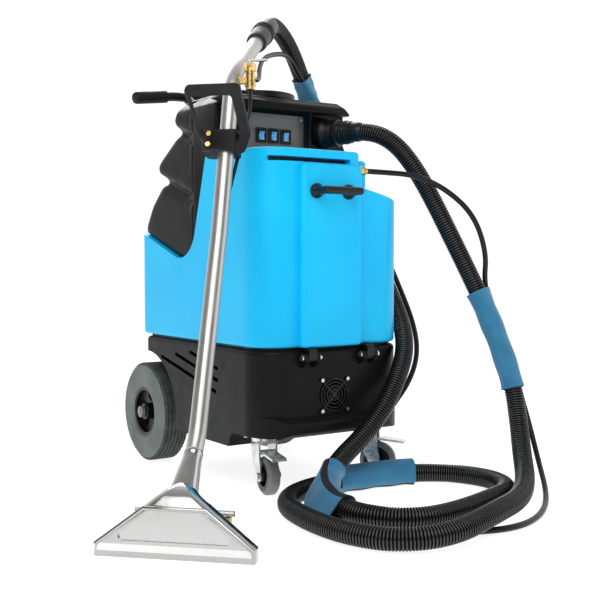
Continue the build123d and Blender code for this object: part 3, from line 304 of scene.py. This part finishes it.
def addWeave(tree, look):
    coords = tree.nodes.new("ShaderNodeTexCoord")
    weave = tree.nodes.new("ShaderNodeMath")
    weave.operation = "MAXIMUM"
    for thread, turn in enumerate((0, 90)):
        mapping = tree.nodes.new("ShaderNodeMapping")
        mapping.inputs["Rotation"].default_value = (0, 0, math.radians(turn))
        wave = tree.nodes.new("ShaderNodeTexWave")
        wave.inputs["Scale"].default_value = look["scale"]
        wave.inputs["Distortion"].default_value = look["distortion"]
        tree.links.new(coords.outputs["UV"], mapping.inputs["Vector"])
        tree.links.new(mapping.outputs["Vector"], wave.inputs["Vector"])
        tree.links.new(wave.outputs["Fac"], weave.inputs[thread])
    return weave.outputs[0]


def addTone(tree, shader, look):
    ramp = tree.nodes.new("ShaderNodeValToRGB")
    for element, spot, colour in zip(ramp.color_ramp.elements, noiseSpans["tone"], (look["dark"], look["light"])):
        element.position = spot
        element.color = (*colour, 1)
    tree.links.new(addNoise(tree, look), ramp.inputs["Fac"])
    tree.links.new(ramp.outputs["Color"], shader.inputs["Base Color"])


def addGloss(tree, shader, look):
    span = tree.nodes.new("ShaderNodeMapRange")
    span.inputs["From Min"].default_value, span.inputs["From Max"].default_value = noiseSpans["gloss"]
    span.inputs["To Min"].default_value = look["low"]
    span.inputs["To Max"].default_value = look["high"]
    tree.links.new(addNoise(tree, look), span.inputs["Value"])
    tree.links.new(span.outputs["Result"], shader.inputs["Roughness"])


def addBump(tree, shader, source, look):
    bump = tree.nodes.new("ShaderNodeBump")
    bump.inputs["Strength"].default_value = look["strength"]
    bump.inputs["Distance"].default_value = look["height"]
    tree.links.new(source, bump.inputs["Height"])
    tree.links.new(bump.outputs["Normal"], shader.inputs["Normal"])


def newFinish(name):
    look = finishLooks[name]
    finish = bpy.data.materials.new(name)
    finish.use_nodes = True
    tree = finish.node_tree
    shader = tree.nodes["Principled BSDF"]
    shader.inputs["Base Color"].default_value = (*look["colour"], 1)
    shader.inputs["Roughness"].default_value = look["rough"]
    shader.inputs["Metallic"].default_value = look.get("metal", 0)
    shader.inputs["Specular IOR Level"].default_value = look.get("shine", 0.5)
    for label, value in look.get("inputs", {}).items():
        shader.inputs[label].default_value = value
    if "tone" in look:
        addTone(tree, shader, look["tone"])
    if "gloss" in look:
        addGloss(tree, shader, look["gloss"])
    if "bump" in look:
        addBump(tree, shader, addNoise(tree, look["bump"]), look["bump"])
    if "weave" in look:
        addBump(tree, shader, addWeave(tree, look["weave"]), look["weave"])
    return finish


slotFinishes = {
    "black_housing": "mouldedBlack", "blue_tank": "mouldedBlue", "zinc": "brightZinc", "panel_metal": "panelGrey",
    "black_trim": "satinBlack", "black_metal": "powderBlack", "black_rubber": "gripRubber", "brass": "castBrass",
    "motor": "motorGrey", "heater": "brightZinc", "white_plastic": "plainWhite", "tyre": "tyreGrey",
    "wheel_plastic": "satinBlack", "caster_tread": "casterGrey", "stainless": "polishedSteel",
    "blue_fabric": "wovenBlue", "hose": "hoseBlack",
}
nodeFinishes = {
    "wand_cuff": "cuffGrey", "wand_head": "litPanelSteel", "spray_line": "lineBlack", "rear_axle": "motorGrey",
}
finishes = {slotName: newFinish(name) for slotName, name in slotFinishes.items()}
ownFinishes = {nodeName: newFinish(name) for nodeName, name in nodeFinishes.items()}


def dressNodes():
    for part in frame["record"]["subparts"]:
        node = nodes[part["node"]]
        node.data.materials.clear()
        node.data.materials.append(ownFinishes.get(part["node"], finishes[part["material_slot"]]))


# hoses, on the same route points as their solids

routeCurve = {"order": 3, "steps": 24}
vacuumHose = {
    "diameter": 0.0445, "rib": 0.003, "shoulder": 0.15, "pitch": 0.0062, "sides": 24, "length": 5.0,
    "route": [
        (0.176, 0.18072, 0.862), (0.202, 0.13569, 0.862), (0.233, 0.082, 0.832), (0.258, 0.039, 0.774),
        (0.28, 0, 0.7), (0.302, -0.038, 0.616), (0.325, -0.078, 0.526), (0.348, -0.12, 0.43),
        (0.368, -0.156, 0.334), (0.383, -0.184, 0.242), (0.378, -0.208, 0.16), (0.346, -0.25, 0.092),
        (0.284, -0.322, 0.05), (0.176, -0.41, 0.04), (0.036, -0.478, 0.046), (-0.098, -0.512, 0.032),
        (-0.202, -0.474, 0.024), (-0.252, -0.374, 0.024), (-0.256, -0.25, 0.024), (-0.23, -0.126, 0.024),
        (-0.154, -0.048, 0.024), (-0.044, -0.018, 0.0265), (0.084, -0.02, 0.0265), (0.204, -0.042, 0.0265),
        (0.292, -0.108, 0.024), (0.312, -0.208, 0.024), (0.261, -0.296, 0.024), (0.168, -0.33, 0.024),
        (0.064, -0.362, 0.024), (-0.024, -0.376, 0.024), (-0.086, -0.362, 0.024), (-0.134, -0.322, 0.0265),
        (-0.16, -0.26, 0.029), (-0.154, -0.182, 0.04), (-0.108, -0.112, 0.064), (-0.046, -0.078, 0.095),
        (0.014, -0.07, 0.131), (0.062, -0.066, 0.17), (0.102, -0.06, 0.212), (0.142, -0.046, 0.26),
        (0.186, -0.018, 0.308), (0.224, 0.028, 0.352), (0.248, 0.082, 0.404), (0.26, 0.136, 0.462),
        (0.266, 0.192, 0.534), (0.267, 0.254, 0.62), (0.267, 0.318, 0.716), (0.262, 0.384, 0.818),
        (0.23, 0.425, 0.93), (0.178, 0.415, 1.04), (0.125, 0.388, 1.103), (0.06, 0.345, 1.136),
        (-0.00226, 0.28955, 1.13155), (-0.0459, 0.2459, 1.09853),
    ],
}
solutionLine = {
    "diameter": 0.013, "length": 3.86, "bevelSteps": 4,
    "route": [
        (0.098, 0.02, 0.748), (0.144, 0.02, 0.748), (0.222, -0.018, 0.742), (0.28, -0.064, 0.706),
        (0.332, -0.102, 0.645), (0.366, -0.11, 0.555), (0.374, -0.094, 0.48), (0.384, -0.112, 0.42),
        (0.399, -0.14, 0.332), (0.412, -0.17, 0.245), (0.418, -0.2, 0.16), (0.386, -0.264, 0.072),
        (0.308, -0.364, 0.018), (0.2, -0.446, 0.008), (0.084, -0.486, 0.008), (-0.022, -0.452, 0.008),
        (-0.112, -0.442, 0.008), (-0.178, -0.394, 0.008), (-0.206, -0.31, 0.008), (-0.204, -0.22, 0.008),
        (-0.182, -0.14, 0.016), (-0.124, -0.076, 0.036), (-0.05, -0.05, 0.064), (0.022, -0.044, 0.098),
        (0.078, -0.042, 0.142), (0.136, -0.038, 0.194), (0.198, -0.028, 0.25), (0.252, 0.008, 0.312),
        (0.284, 0.064, 0.378), (0.298, 0.124, 0.448), (0.3, 0.184, 0.534), (0.299, 0.246, 0.62),
        (0.299, 0.304, 0.716), (0.29, 0.362, 0.818), (0.238, 0.384, 0.935), (0.158, 0.39, 1.028),
        (0.104, 0.366, 1.08), (0.02, 0.3, 1.062), (-0.07, 0.212, 1.028), (-0.134, 0.128, 0.984),
        (-0.17378, 0.06428, 0.938), (-0.20843, 0.02963, 0.938),
    ],
}


def addRoute(name, route):
    curve = bpy.data.curves.new(name, "CURVE")
    curve.dimensions = "3D"
    spline = curve.splines.new("NURBS")
    spline.points.add(len(route) - 1)
    for point, spot in zip(spline.points, route):
        point.co = (*place(*spot), 1)
    spline.order_u = routeCurve["order"]
    spline.use_endpoint_u = True
    spline.resolution_u = routeCurve["steps"]
    return newObject(name, curve)


def readRoute(line):
    bpy.context.view_layer.update()
    mesh = bpy.data.meshes.new_from_object(line)
    points = [vertex.co.copy() for vertex in mesh.vertices]
    bpy.data.meshes.remove(mesh)
    return points


def evenPoints(points, step):
    even = [points[0].copy()]
    spare = step
    for start, end in zip(points, points[1:]):
        run = (end - start).length
        while spare <= run:
            even.append(start.lerp(end, spare / run))
            spare += step
        spare -= run
    return even


def ringFrames(points):
    side = (points[1] - points[0]).orthogonal().normalized()
    frames = []
    for i, point in enumerate(points):
        way = (points[min(i + 1, len(points) - 1)] - points[max(i - 1, 0)]).normalized()
        side = (side - way * side.dot(way)).normalized()
        frames.append((point, side, way.cross(side)))
    return frames


def roundRing(ringFrame, radius, turns):
    middle, side, up = ringFrame
    return [middle + (side * math.cos(turn) + up * math.sin(turn)) * radius for turn in turns]


def meshFromRings(name, rings, closedEnds=True):
    count = len(rings[0])
    corners = [corner for ring in rings for corner in ring]
    faces = []
    for i in range(len(rings) - 1):
        for j in range(count):
            k = (j + 1) % count
            faces.append((i * count + j, i * count + k, (i + 1) * count + k, (i + 1) * count + j))
    if closedEnds:
        faces.append(tuple(reversed(range(count))))
        faces.append(tuple(range((len(rings) - 1) * count, len(rings) * count)))
    mesh = bpy.data.meshes.new(name)
    mesh.from_pydata(corners, [], faces)
    mesh.polygons.foreach_set("use_smooth", [True] * len(mesh.polygons))
    return newObject(name, mesh)


def addVacuumHose():
    line = addRoute("vacuumHoseLine", vacuumHose["route"])
    points = readRoute(line)
    bpy.data.objects.remove(line)
    groove, shoulder = vacuumHose["rib"], vacuumHose["rib"] * vacuumHose["shoulder"]
    depths = (groove, shoulder, 0.0, shoulder)
    shadedGrooveSides = (0, len(depths) - 1)
    frames = ringFrames(evenPoints(points, vacuumHose["pitch"] / len(depths)))
    crest = vacuumHose["diameter"] / 2
    turns = circleTurns(vacuumHose["sides"])
    rings = [roundRing(ringFrame, crest - depths[i % len(depths)], turns) for i, ringFrame in enumerate(frames)]
    hose = meshFromRings("vacuumHose", rings)
    hose.data.materials.append(finishes["hose"])
    # groove faces get a near-black finish: painted shade in the rib grooves of the black hose
    hose.data.materials.append(newFinish("grooveShadeBlack"))
    for face in hose.data.polygons:
        ring = face.index // vacuumHose["sides"]
        face.material_index = 1 if ring % len(depths) in shadedGrooveSides else 0
    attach(hose, "chassis")
    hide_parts("vacuum_hose_front", "vacuum_hose_coil", "vacuum_hose_rear")
    print("vacuum hose", len(hose.data.polygons), "faces")
    return hose, points


def addSolutionLine():
    line = addRoute("solutionLine", solutionLine["route"])
    points = readRoute(line)
    line.data.bevel_depth = solutionLine["diameter"] / 2
    line.data.bevel_resolution = solutionLine["bevelSteps"]
    line.data.use_fill_caps = True
    line.data.materials.append(newFinish("lineBlack"))
    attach(line, "chassis")
    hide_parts("solution_hose_front", "solution_hose_rear")
    return line, points


# cloth sleeves round the hose, some with the thin line inside

sleeves = {
    "sleeveUpright": {"start": (0.341, -0.107, 0.459), "end": (0.380, -0.184, 0.23), "holdsLine": True},
    "sleeveCoil": {
        "start": (-0.022, -0.02, 0.0265), "end": (0.192, -0.043, 0.0265),
        "lift": (0, -0.001, 0.012), "tape": (132, 166),
    },
    "sleeveLift": {
        "start": (-0.159, -0.245, 0.031), "end": (-0.082, -0.096, 0.078),
        "holdsLine": True, "tape": (92, 128),
    },
    "sleeveTop": {"start": (0.215, 0.421, 0.963), "end": (0.179, 0.414, 1.033), "holdsLine": True},
}
sleeveCloth = {
    "room": 0.0012, "thick": 0.0022, "tip": 0.0078, "step": 0.005, "sides": 60, "lineStep": 0.002, "liftedTip": 0.92,
    "pucker": 0.0009, "waves": 17, "waveStart": 2, "flare": 0.0012, "flarePower": 6, "sharp": 50, "unwrap": 1.15,
}


def sleeveRing(middle, way, offset, wide, tip):
    across = offset.normalized()
    beside = way.cross(across)
    turnover = (wide - tip) / offset.length
    ring = []
    for turn in circleTurns(sleeveCloth["sides"]):
        far = math.cos(turn) > turnover
        corner = middle + offset if far else middle.copy()
        ring.append(corner + (across * math.cos(turn) + beside * math.sin(turn)) * (tip if far else wide))
    return ring


def addSleeves(points, linePoints):
    made = []
    even = evenPoints(points, sleeveCloth["step"])
    beads = evenPoints(linePoints, sleeveCloth["lineStep"])
    frames = ringFrames(even)
    for name, sleeve in sleeves.items():
        start, end = place(*sleeve["start"]), place(*sleeve["end"])
        first = min(range(len(even)), key=lambda i: (even[i] - start).length)
        last = min(range(len(even)), key=lambda i: (even[i] - end).length)
        inner = vacuumHose["diameter"] / 2 + sleeveCloth["room"]
        outside, inside = [], []
        for i in range(first, last + 1):
            middle, side, up = frames[i]
            way = side.cross(up)
            along = (i - first) / max(last - first, 1)
            wave = math.sin(sleeveCloth["waves"] * along + sleeveCloth["waveStart"])
            flare = sleeveCloth["flare"] * abs(2 * along - 1) ** sleeveCloth["flarePower"]
            pucker = sleeveCloth["pucker"] * (1 + wave) + flare
            tip = sleeveCloth["tip"]
            if "holdsLine" in sleeve:
                offset = min((bead - middle for bead in beads), key=lambda gap: gap.length)
            else:
                offset, tip = Vector(sleeve["lift"]), inner * sleeveCloth["liftedTip"]
            offset -= way * offset.dot(way)
            outer = inner + sleeveCloth["thick"] + pucker
            inside.append(sleeveRing(middle, way, offset, inner, tip))
            outside.append(sleeveRing(middle, way, offset, outer, tip + sleeveCloth["thick"]))
        wrap = meshFromRings(name, outside + list(reversed(inside)) + [outside[0]], closedEnds=False)
        tidyMesh(wrap, sleeveCloth["sharp"])
        paintSleeve(wrap, sleeve.get("tape", (0, 0)), len(outside))
        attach(wrap, "chassis")
        made.append(wrap)
    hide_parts("hose_sleeves")
    print("sleeves", len(made))
    return made


def paintSleeve(wrap, tape, ringCount):
    wrap.data.materials.append(finishes["blue_fabric"])
    wrap.data.materials.append(newFinish("hookTapeAndDarkEnds"))
    bpy.ops.object.mode_set(mode="EDIT")
    bpy.ops.mesh.select_all(action="SELECT")
    bpy.ops.uv.smart_project(angle_limit=sleeveCloth["unwrap"])
    bpy.ops.object.mode_set(mode="OBJECT")
    for face in wrap.data.polygons:
        # inner faces and both end rims take the dark finish, as do the hook-tape bands
        innerAndEndFaces = face.index >= (ringCount - 1) * sleeveCloth["sides"]
        turn = 360 * (face.index % sleeveCloth["sides"] + 0.5) / sleeveCloth["sides"]
        taped = tape[0] < turn < tape[1]
        face.material_index = 1 if innerAndEndFaces or taped else 0


# turned pieces, clean-up of a mesh, and what a piece wears

def turnedPiece(name, profile, middle, axis, sides=48):
    way = Vector(axis).normalized()
    side = way.orthogonal().normalized()
    up = way.cross(side)
    rings = []
    for turn in circleTurns(sides):
        out = side * math.cos(turn) + up * math.sin(turn)
        rings.append([middle + way * along + out * radius for along, radius in profile])
    piece = meshFromRings(name, rings + [rings[0]], closedEnds=False)
    tidyMesh(piece)
    return piece


def tidyMesh(piece, sharpAngle=35, weld=0.000005):
    pick(piece)
    bpy.ops.object.mode_set(mode="EDIT")
    bpy.ops.mesh.select_all(action="SELECT")
    bpy.ops.mesh.remove_doubles(threshold=weld)
    bpy.ops.mesh.normals_make_consistent(inside=False)
    bpy.ops.object.mode_set(mode="OBJECT")
    shadeByAngle(piece, sharpAngle)


def wear(piece, finish, body):
    piece.data.materials.clear()
    piece.data.materials.append(finish)
    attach(piece, body)


# rear tyres with zigzag grooves

rearTyre = {
    "radius": 0.131, "width": 0.08, "bead": 0.065, "axle": (0.183, 0.581, 0.131), "steps": 240, "sharp": 30,
    "lip": ((0.007, 0), (0.002, 0.004), (0, 0.012)), "wallDrop": 0.03,
    "shoulderWide": 0.018, "shoulderTall": 0.024, "shoulderDrop": 0.0005, "shoulderSteps": 6,
    "grooves": (-0.027, -0.0162, -0.0054, 0.0054, 0.0162, 0.027), "grooveWide": 0.0032, "grooveDeep": 0.0045,
    "grooveFloor": 0.7, "treadFrom": 0.123, "zigzag": 0.0016, "teeth": 60,
}


def tyreProfile():
    half, top, bead = rearTyre["width"] / 2, rearTyre["radius"], rearTyre["bead"]
    wide, tall, steps = rearTyre["shoulderWide"], rearTyre["shoulderTall"], rearTyre["shoulderSteps"]
    left = [(-half + inset, bead + rise, 0) for inset, rise in rearTyre["lip"]]
    left.append((-half, top - rearTyre["wallDrop"], 0))
    for step in range(1, steps):
        turn = math.radians(90 * step / steps)
        reach = top - tall + tall * math.sin(turn) - rearTyre["shoulderDrop"]
        left.append((-half + wide * (1 - math.cos(turn)), reach, 0))
    mouth, deep = rearTyre["grooveWide"] / 2, rearTyre["grooveDeep"]
    foot = mouth * rearTyre["grooveFloor"]
    tread = []
    for x in rearTyre["grooves"]:
        tread += [(x - mouth, top, 1), (x - foot, top - deep, 1), (x + foot, top - deep, 1), (x + mouth, top, 1)]
    right = [(-x, radius, 0) for x, radius, _ in reversed(left)]
    return left + tread + right


def addTyre(side, tread):
    sign = 1 if side == "right" else -1
    x, y, z = rearTyre["axle"]
    middle = place(sign * x, y, z)
    profile = tyreProfile()
    rings = []
    for i, turn in enumerate(circleTurns(rearTyre["steps"])):
        tooth = (i * rearTyre["teeth"] / rearTyre["steps"]) % 1
        shift = rearTyre["zigzag"] * (4 * abs(tooth - 0.5) - 1)
        out = Vector((0, math.cos(turn), math.sin(turn)))
        rings.append([
            middle + Vector((along + bend * shift, 0, 0)) + out * radius for along, radius, bend in profile
        ])
    tyre = meshFromRings("tyre" + side.capitalize(), rings + [rings[0]], closedEnds=False)
    tidyMesh(tyre, rearTyre["sharp"])
    wear(tyre, finishes["tyre"], "rear_wheel_" + side)
    tyre.data.materials.append(tread)
    for face in tyre.data.polygons:
        reach = face.center - middle
        face.material_index = 1 if math.hypot(reach.y, reach.z) > rearTyre["treadFrom"] else 0
    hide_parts("tyre_" + side)


# lit windows of the rockers

switchLens = {
    "wide": 0.0145, "tall": 0.021, "thick": 0.0011, "pivot": (0.249, 0.846), "tilt": 7.0,
    "across": (-0.055, -0.019, 0.017), "steps": 12, "dish": -0.0058, "dishCurve": 0.0023,
    "edge": 0.0007, "chamfer": 0.0006, "sink": 0.0006, "sharp": 40,
}


def addLenses():
    finish = newFinish("lensBlue")
    y, z = switchLens["pivot"]
    tilt = math.radians(switchLens["tilt"])
    half, steps = switchLens["wide"] / 2, switchLens["steps"]
    edge, chamfer, thick = switchLens["edge"], switchLens["chamfer"], switchLens["thick"]
    section = (
        (-half, 0), (half, 0), (half, -edge), (half - chamfer, -thick), (chamfer - half, -thick), (-half, -edge),
    )
    for number, x in enumerate(switchLens["across"], 1):
        rings = []
        for step in range(steps + 1):
            rise = switchLens["tall"] * (step / steps - 0.5)
            dish = switchLens["dish"] - switchLens["dishCurve"] * (2 * step / steps - 1) ** 2
            ring = []
            for across, out in section:
                deep = dish + switchLens["sink"] + out
                ring.append(place(
                    x + across, y + deep * math.cos(tilt) - rise * math.sin(tilt),
                    z + deep * math.sin(tilt) + rise * math.cos(tilt),
                ))
            rings.append(ring)
        lens = meshFromRings(f"switchLens{number}", rings)
        tidyMesh(lens, switchLens["sharp"])
        wear(lens, finish, f"rocker_{number}")


# dark plate at the back of the filling slot

slotTrough = {
    "left": -0.176, "right": 0.0355, "deep": 0.0209, "low": 0.7594, "high": 0.7696, "thick": 0.002, "bevel": 0.0006,
}


def addTrough():
    deselect()
    left, right, low, high = (slotTrough[side] for side in ("left", "right", "low", "high"))
    middle = place((left + right) / 2, slotTrough["deep"], (low + high) / 2)
    bpy.ops.mesh.primitive_cube_add(size=1, location=middle)
    trough = bpy.context.object
    trough.name = "fillTrough"
    trough.scale = (right - left, slotTrough["thick"], high - low)
    bpy.ops.object.transform_apply(location=True, rotation=True, scale=True)
    bpy.ops.object.mode_set(mode="EDIT")
    bpy.ops.mesh.select_all(action="SELECT")
    bpy.ops.mesh.bevel(offset=slotTrough["bevel"], segments=2)
    bpy.ops.object.mode_set(mode="OBJECT")
    wear(trough, finishes["black_rubber"], "chassis")


# bands and collars that hold the hose on the port and the cuff

bands = {
    "portBand": {
        "root": (0.136, 0.25, 0.862), "way": (0.5, -0.8660254, 0), "at": (0.052, 0.066),
        "bore": 0.0278, "radius": 0.0305,
    },
    "cuffBand": {
        "root": (-0.1033, 0.1885, 1.0551), "way": (0.6235, 0.6235, 0.4716), "at": (0.066, 0.081),
        "bore": 0.0245, "radius": 0.0283,
    },
}
bandShape = {"half": 0.0045, "crown": 0.003, "dip": 0.001, "edgeDrop": 0.001, "dipDrop": 0.0006}
hoseEnds = {"portCollar": {"fromEnd": False, "long": 0.028}, "cuffCollar": {"fromEnd": True, "long": 0.062}}
collarShape = {"step": 0.003, "over": 0.0026, "taper": 0.0022, "taperPower": 8, "sides": 40, "sharp": 50}


def addBands():
    half, crown, dip = bandShape["half"], bandShape["crown"], bandShape["dip"]
    for name, band in bands.items():
        root, way = place(*band["root"]), Vector(band["way"])
        bore, radius = band["bore"], band["radius"]
        edge, valley = radius - bandShape["edgeDrop"], radius - bandShape["dipDrop"]
        profile = [
            (-half, bore), (-half, edge), (-crown, radius), (-dip, valley),
            (dip, valley), (crown, radius), (half, edge), (half, bore),
        ]
        for number, along in enumerate(band["at"], 1):
            ring = turnedPiece(f"{name}{number}", profile, root + way * along, way)
            wear(ring, finishes["black_trim"], "chassis")


def addHoseEnds(points):
    step = collarShape["step"]
    turns = circleTurns(collarShape["sides"])
    for name, collar in hoseEnds.items():
        even = evenPoints(list(reversed(points)) if collar["fromEnd"] else points, step)
        frames = ringFrames(even[:round(collar["long"] / step) + 1])
        rings = []
        for i, ringFrame in enumerate(frames):
            taper = collarShape["taper"] * (i / (len(frames) - 1)) ** collarShape["taperPower"]
            rings.append(roundRing(ringFrame, vacuumHose["diameter"] / 2 + collarShape["over"] - taper, turns))
        piece = meshFromRings(name, rings)
        tidyMesh(piece, collarShape["sharp"])
        wear(piece, finishes["black_trim"], "chassis")


# rolled edge round the wand's face, lip to neck

wandFoot = {"place": (-0.5535, -0.2617), "turn": -45.0}
headEdge = {
    "radius": 0.0045, "bevelSteps": 5,
    "route": [(-0.1485, -0.0120, 0.022), (-0.0590, -0.0025, 0.089), (0.0590, -0.0025, 0.089), (0.1485, -0.0120, 0.022)],
}


def wandPlace(x, y, z):
    turn = math.radians(wandFoot["turn"])
    return place(
        wandFoot["place"][0] + x * math.cos(turn) - y * math.sin(turn),
        wandFoot["place"][1] + x * math.sin(turn) + y * math.cos(turn), z,
    )


def wandSpot(point):
    turn = math.radians(wandFoot["turn"])
    spot = point - place(*wandFoot["place"], 0)
    x = spot.x * math.cos(turn) + spot.y * math.sin(turn)
    y = spot.y * math.cos(turn) - spot.x * math.sin(turn)
    return Vector((x, y, spot.z))


def addHeadEdge(shadedSteel):
    curve = bpy.data.curves.new("headEdge", "CURVE")
    curve.dimensions = "3D"
    curve.bevel_depth = headEdge["radius"]
    curve.bevel_resolution = headEdge["bevelSteps"]
    curve.use_fill_caps = True
    spline = curve.splines.new("POLY")
    spline.points.add(len(headEdge["route"]) - 1)
    for point, spot in zip(spline.points, headEdge["route"]):
        point.co = (*wandPlace(*spot), 1)
    pick(newObject("headEdge", curve))
    bpy.ops.object.convert(target="MESH")
    edge = bpy.context.object
    tidyMesh(edge)
    # the darker steel here is painted shade on the rolled edge
    wear(edge, shadedSteel, "chassis")


# copies of nodes that are cut, smoothed or thinned

cutting = {"weld": 0.000002, "snap": 0.00001}


def copyNode(name, newName):
    mesh = nodes[name].data.copy()
    mesh.transform(nodes[name].matrix_world)
    return newObject(newName, mesh)


def cutAt(mesh, spot, normal, dropOuter=False, dropInner=False):
    work = bmesh.new()
    work.from_mesh(mesh)
    bmesh.ops.remove_doubles(work, verts=work.verts[:], dist=cutting["weld"])
    geometry = work.verts[:] + work.edges[:] + work.faces[:]
    cut = bmesh.ops.bisect_plane(
        work, geom=geometry, dist=cutting["snap"], plane_co=spot, plane_no=normal,
        clear_outer=dropOuter, clear_inner=dropInner,
    )
    if dropOuter or dropInner:
        rim = [part for part in cut["geom_cut"] if isinstance(part, bmesh.types.BMEdge) and part.is_boundary]
        bmesh.ops.triangle_fill(work, edges=rim, use_beauty=True)
        print("cut", len(rim), "rim edges,", sum(edge.is_boundary for edge in work.edges), "left open")
    work.to_mesh(mesh)
    work.free()


def applyModifiers(piece):
    pick(piece)
    for modifier in list(piece.modifiers):
        bpy.ops.object.modifier_apply(modifier=modifier.name)


def portion(value, start, span):
    return max(0.0, min(1.0, (value - start) / span))


# recovery tank with softened tiers at the back

softHood = {
    "voxel": 0.0035, "seam": 0.352, "blend": 0.05, "top": 0.922, "topBlend": 0.02,
    "factor": 0.5, "rounds": 70, "sharp": 32,
}


def addSoftHood():
    seam = place(0, softHood["seam"], 0)
    front = copyNode("recovery_tank", "hoodFront")
    cutAt(front.data, seam, (0, 1, 0), dropOuter=True)
    hood = copyNode("recovery_tank", "softHood")
    remesh = hood.modifiers.new("remesh", "REMESH")
    remesh.mode = "VOXEL"
    remesh.voxel_size = softHood["voxel"]
    applyModifiers(hood)
    group = hood.vertex_groups.new(name="tiers")
    for vertex in hood.data.vertices:
        spot = vertex.co - machineZero
        behind = portion(spot.y, softHood["seam"], softHood["blend"])
        weight = behind * (1 - portion(spot.z, softHood["top"], softHood["topBlend"]))
        group.add([vertex.index], weight, "REPLACE")
    smooth = hood.modifiers.new("smooth", "SMOOTH")
    smooth.factor = softHood["factor"]
    smooth.iterations = softHood["rounds"]
    smooth.vertex_group = "tiers"
    applyModifiers(hood)
    cutAt(hood.data, seam, (0, 1, 0), dropInner=True)
    pick(hood)
    front.select_set(True)
    bpy.ops.object.join()
    shadeByAngle(hood, softHood["sharp"])
    wear(hood, finishes["black_housing"], "chassis")
    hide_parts("recovery_tank")
    print("soft hood", len(hood.data.polygons), "faces")


# loop handle with a thin left strap; rise and out are across the wand's tube

thinStrap = {
    "clamp": (0.365, 0.785), "rise": (-0.735, 0.678), "out": (-0.678, -0.735), "left": -0.04,
    "from": 0.046, "to": 0.13, "blend": 0.008, "thin": 0.32, "sharp": 32,
}


def addThinLoop():
    loop = copyNode("loop_handle", "thinLoop")
    rise, out = Vector((0, *thinStrap["rise"])), Vector((0, *thinStrap["out"]))
    root = Vector((0, *thinStrap["clamp"]))
    foot = wandPlace(0, 0, 0)
    low, high, blend = thinStrap["from"], thinStrap["to"], thinStrap["blend"]
    for level in (low, low + blend, high - blend, high):
        cutAt(loop.data, wandPlace(*(root + rise * level)), wandPlace(*rise) - foot)
    for vertex in loop.data.vertices:
        spot = wandSpot(vertex.co)
        level, deep = (spot - root).dot(rise), (spot - root).dot(out)
        if spot.x > thinStrap["left"]:
            continue
        weight = portion(level, low, blend) * (1 - portion(level, high - blend, blend))
        shift = out * deep * (thinStrap["thin"] - 1) * weight
        vertex.co += wandPlace(*shift) - foot
    shadeByAngle(loop, thinStrap["sharp"])
    wear(loop, finishes["black_rubber"], "chassis")
    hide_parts("loop_handle")


# formed neck where the tube flares into the wand's head

neckFlare = {
    "start": (0.058, 0.112), "way": (0.716, 0.698), "sides": 48, "pinch": 0.1, "pinchReach": 0.05, "sharp": 40,
    "sections": [
        (-0.02, 0.031, 0.0225), (-0.008, 0.0285, 0.0225), (0.006, 0.0262, 0.022), (0.02, 0.0245, 0.0212),
        (0.034, 0.0229, 0.0203), (0.05, 0.0207, 0.0194), (0.066, 0.0191, 0.0186), (0.076, 0.0186, 0.0183),
        (0.079, 0.0193, 0.019), (0.082, 0.0186, 0.0183), (0.084, 0.0177, 0.0177),
    ],
}


def addNeck(shadedSteel):
    way = Vector((0, *neckFlare["way"]))
    back = Vector((0, way.z, -way.y))
    reach = neckFlare["pinchReach"]
    rings = []
    for along, wide, deep in neckFlare["sections"]:
        middle = Vector((0, *neckFlare["start"])) + way * along
        pinched = neckFlare["pinch"] * portion(reach - along, 0, reach)
        ring = []
        for turn in circleTurns(neckFlare["sides"]):
            waist = 1 - pinched * math.cos(2 * turn) ** 2 if math.sin(turn) > 0 else 1
            across = Vector((wide * math.cos(turn), 0, 0))
            ring.append(wandPlace(*(middle + across - back * deep * waist * math.sin(turn))))
        rings.append(ring)
    neck = meshFromRings("neckFlare", rings)
    tidyMesh(neck, neckFlare["sharp"])
    # the darker steel here is painted shade on the neck
    wear(neck, shadedSteel, "chassis")


# wand's head: lighter steel on its panel only, as a painted highlight, and darker steel on its other faces as painted
# shade

litHeadPanel = {"normal": (-0.7, -0.7, 0.145), "cosine": 0.965, "lip": 0.011, "sharp": 14}


def addHead(shadedSteel):
    head = copyNode("wand_head", "headShell")
    lip = litHeadPanel["lip"]
    cutAt(head.data, place(0, 0, lip), (0, 0, 1))
    wear(head, ownFinishes["wand_head"], "chassis")
    head.data.materials.append(shadedSteel)
    shadeByAngle(head, litHeadPanel["sharp"])
    facing = Vector(litHeadPanel["normal"]).normalized()
    # faces turned like the panel front get the lighter steel as a painted highlight; the rest get the darker steel as
    # painted shade
    for face in head.data.polygons:
        litFace = face.normal.dot(facing) > litHeadPanel["cosine"] and (face.center - machineZero).z > lip
        face.material_index = 0 if litFace else 1
        face.use_smooth = face.use_smooth and not litFace
    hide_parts("wand_head")


addCamera()
addLights()
addSky()
addFloor()
print("studio done")
dressNodes()
print("finishes on", len(nodes), "nodes")
hose, hosePoints = addVacuumHose()
line, linePoints = addSolutionLine()
print("solution line", len(linePoints), "points")
wraps = addSleeves(hosePoints, linePoints)
treadRubber = newFinish("treadGrey")
for side in ("left", "right"):
    addTyre(side, treadRubber)
print("tyres done")
addLenses()
addTrough()
addBands()
addHoseEnds(hosePoints)
print("windows, trough, bands and collars done")
# darker steel as painted shade on the head's rolled edge, neck and non-panel faces
shadedHeadSteel = newFinish("shadedRimSteel")
addHeadEdge(shadedHeadSteel)
addNeck(shadedHeadSteel)
addHead(shadedHeadSteel)
print("wand's head done")
addSoftHood()
addThinLoop()
print("loop handle done")
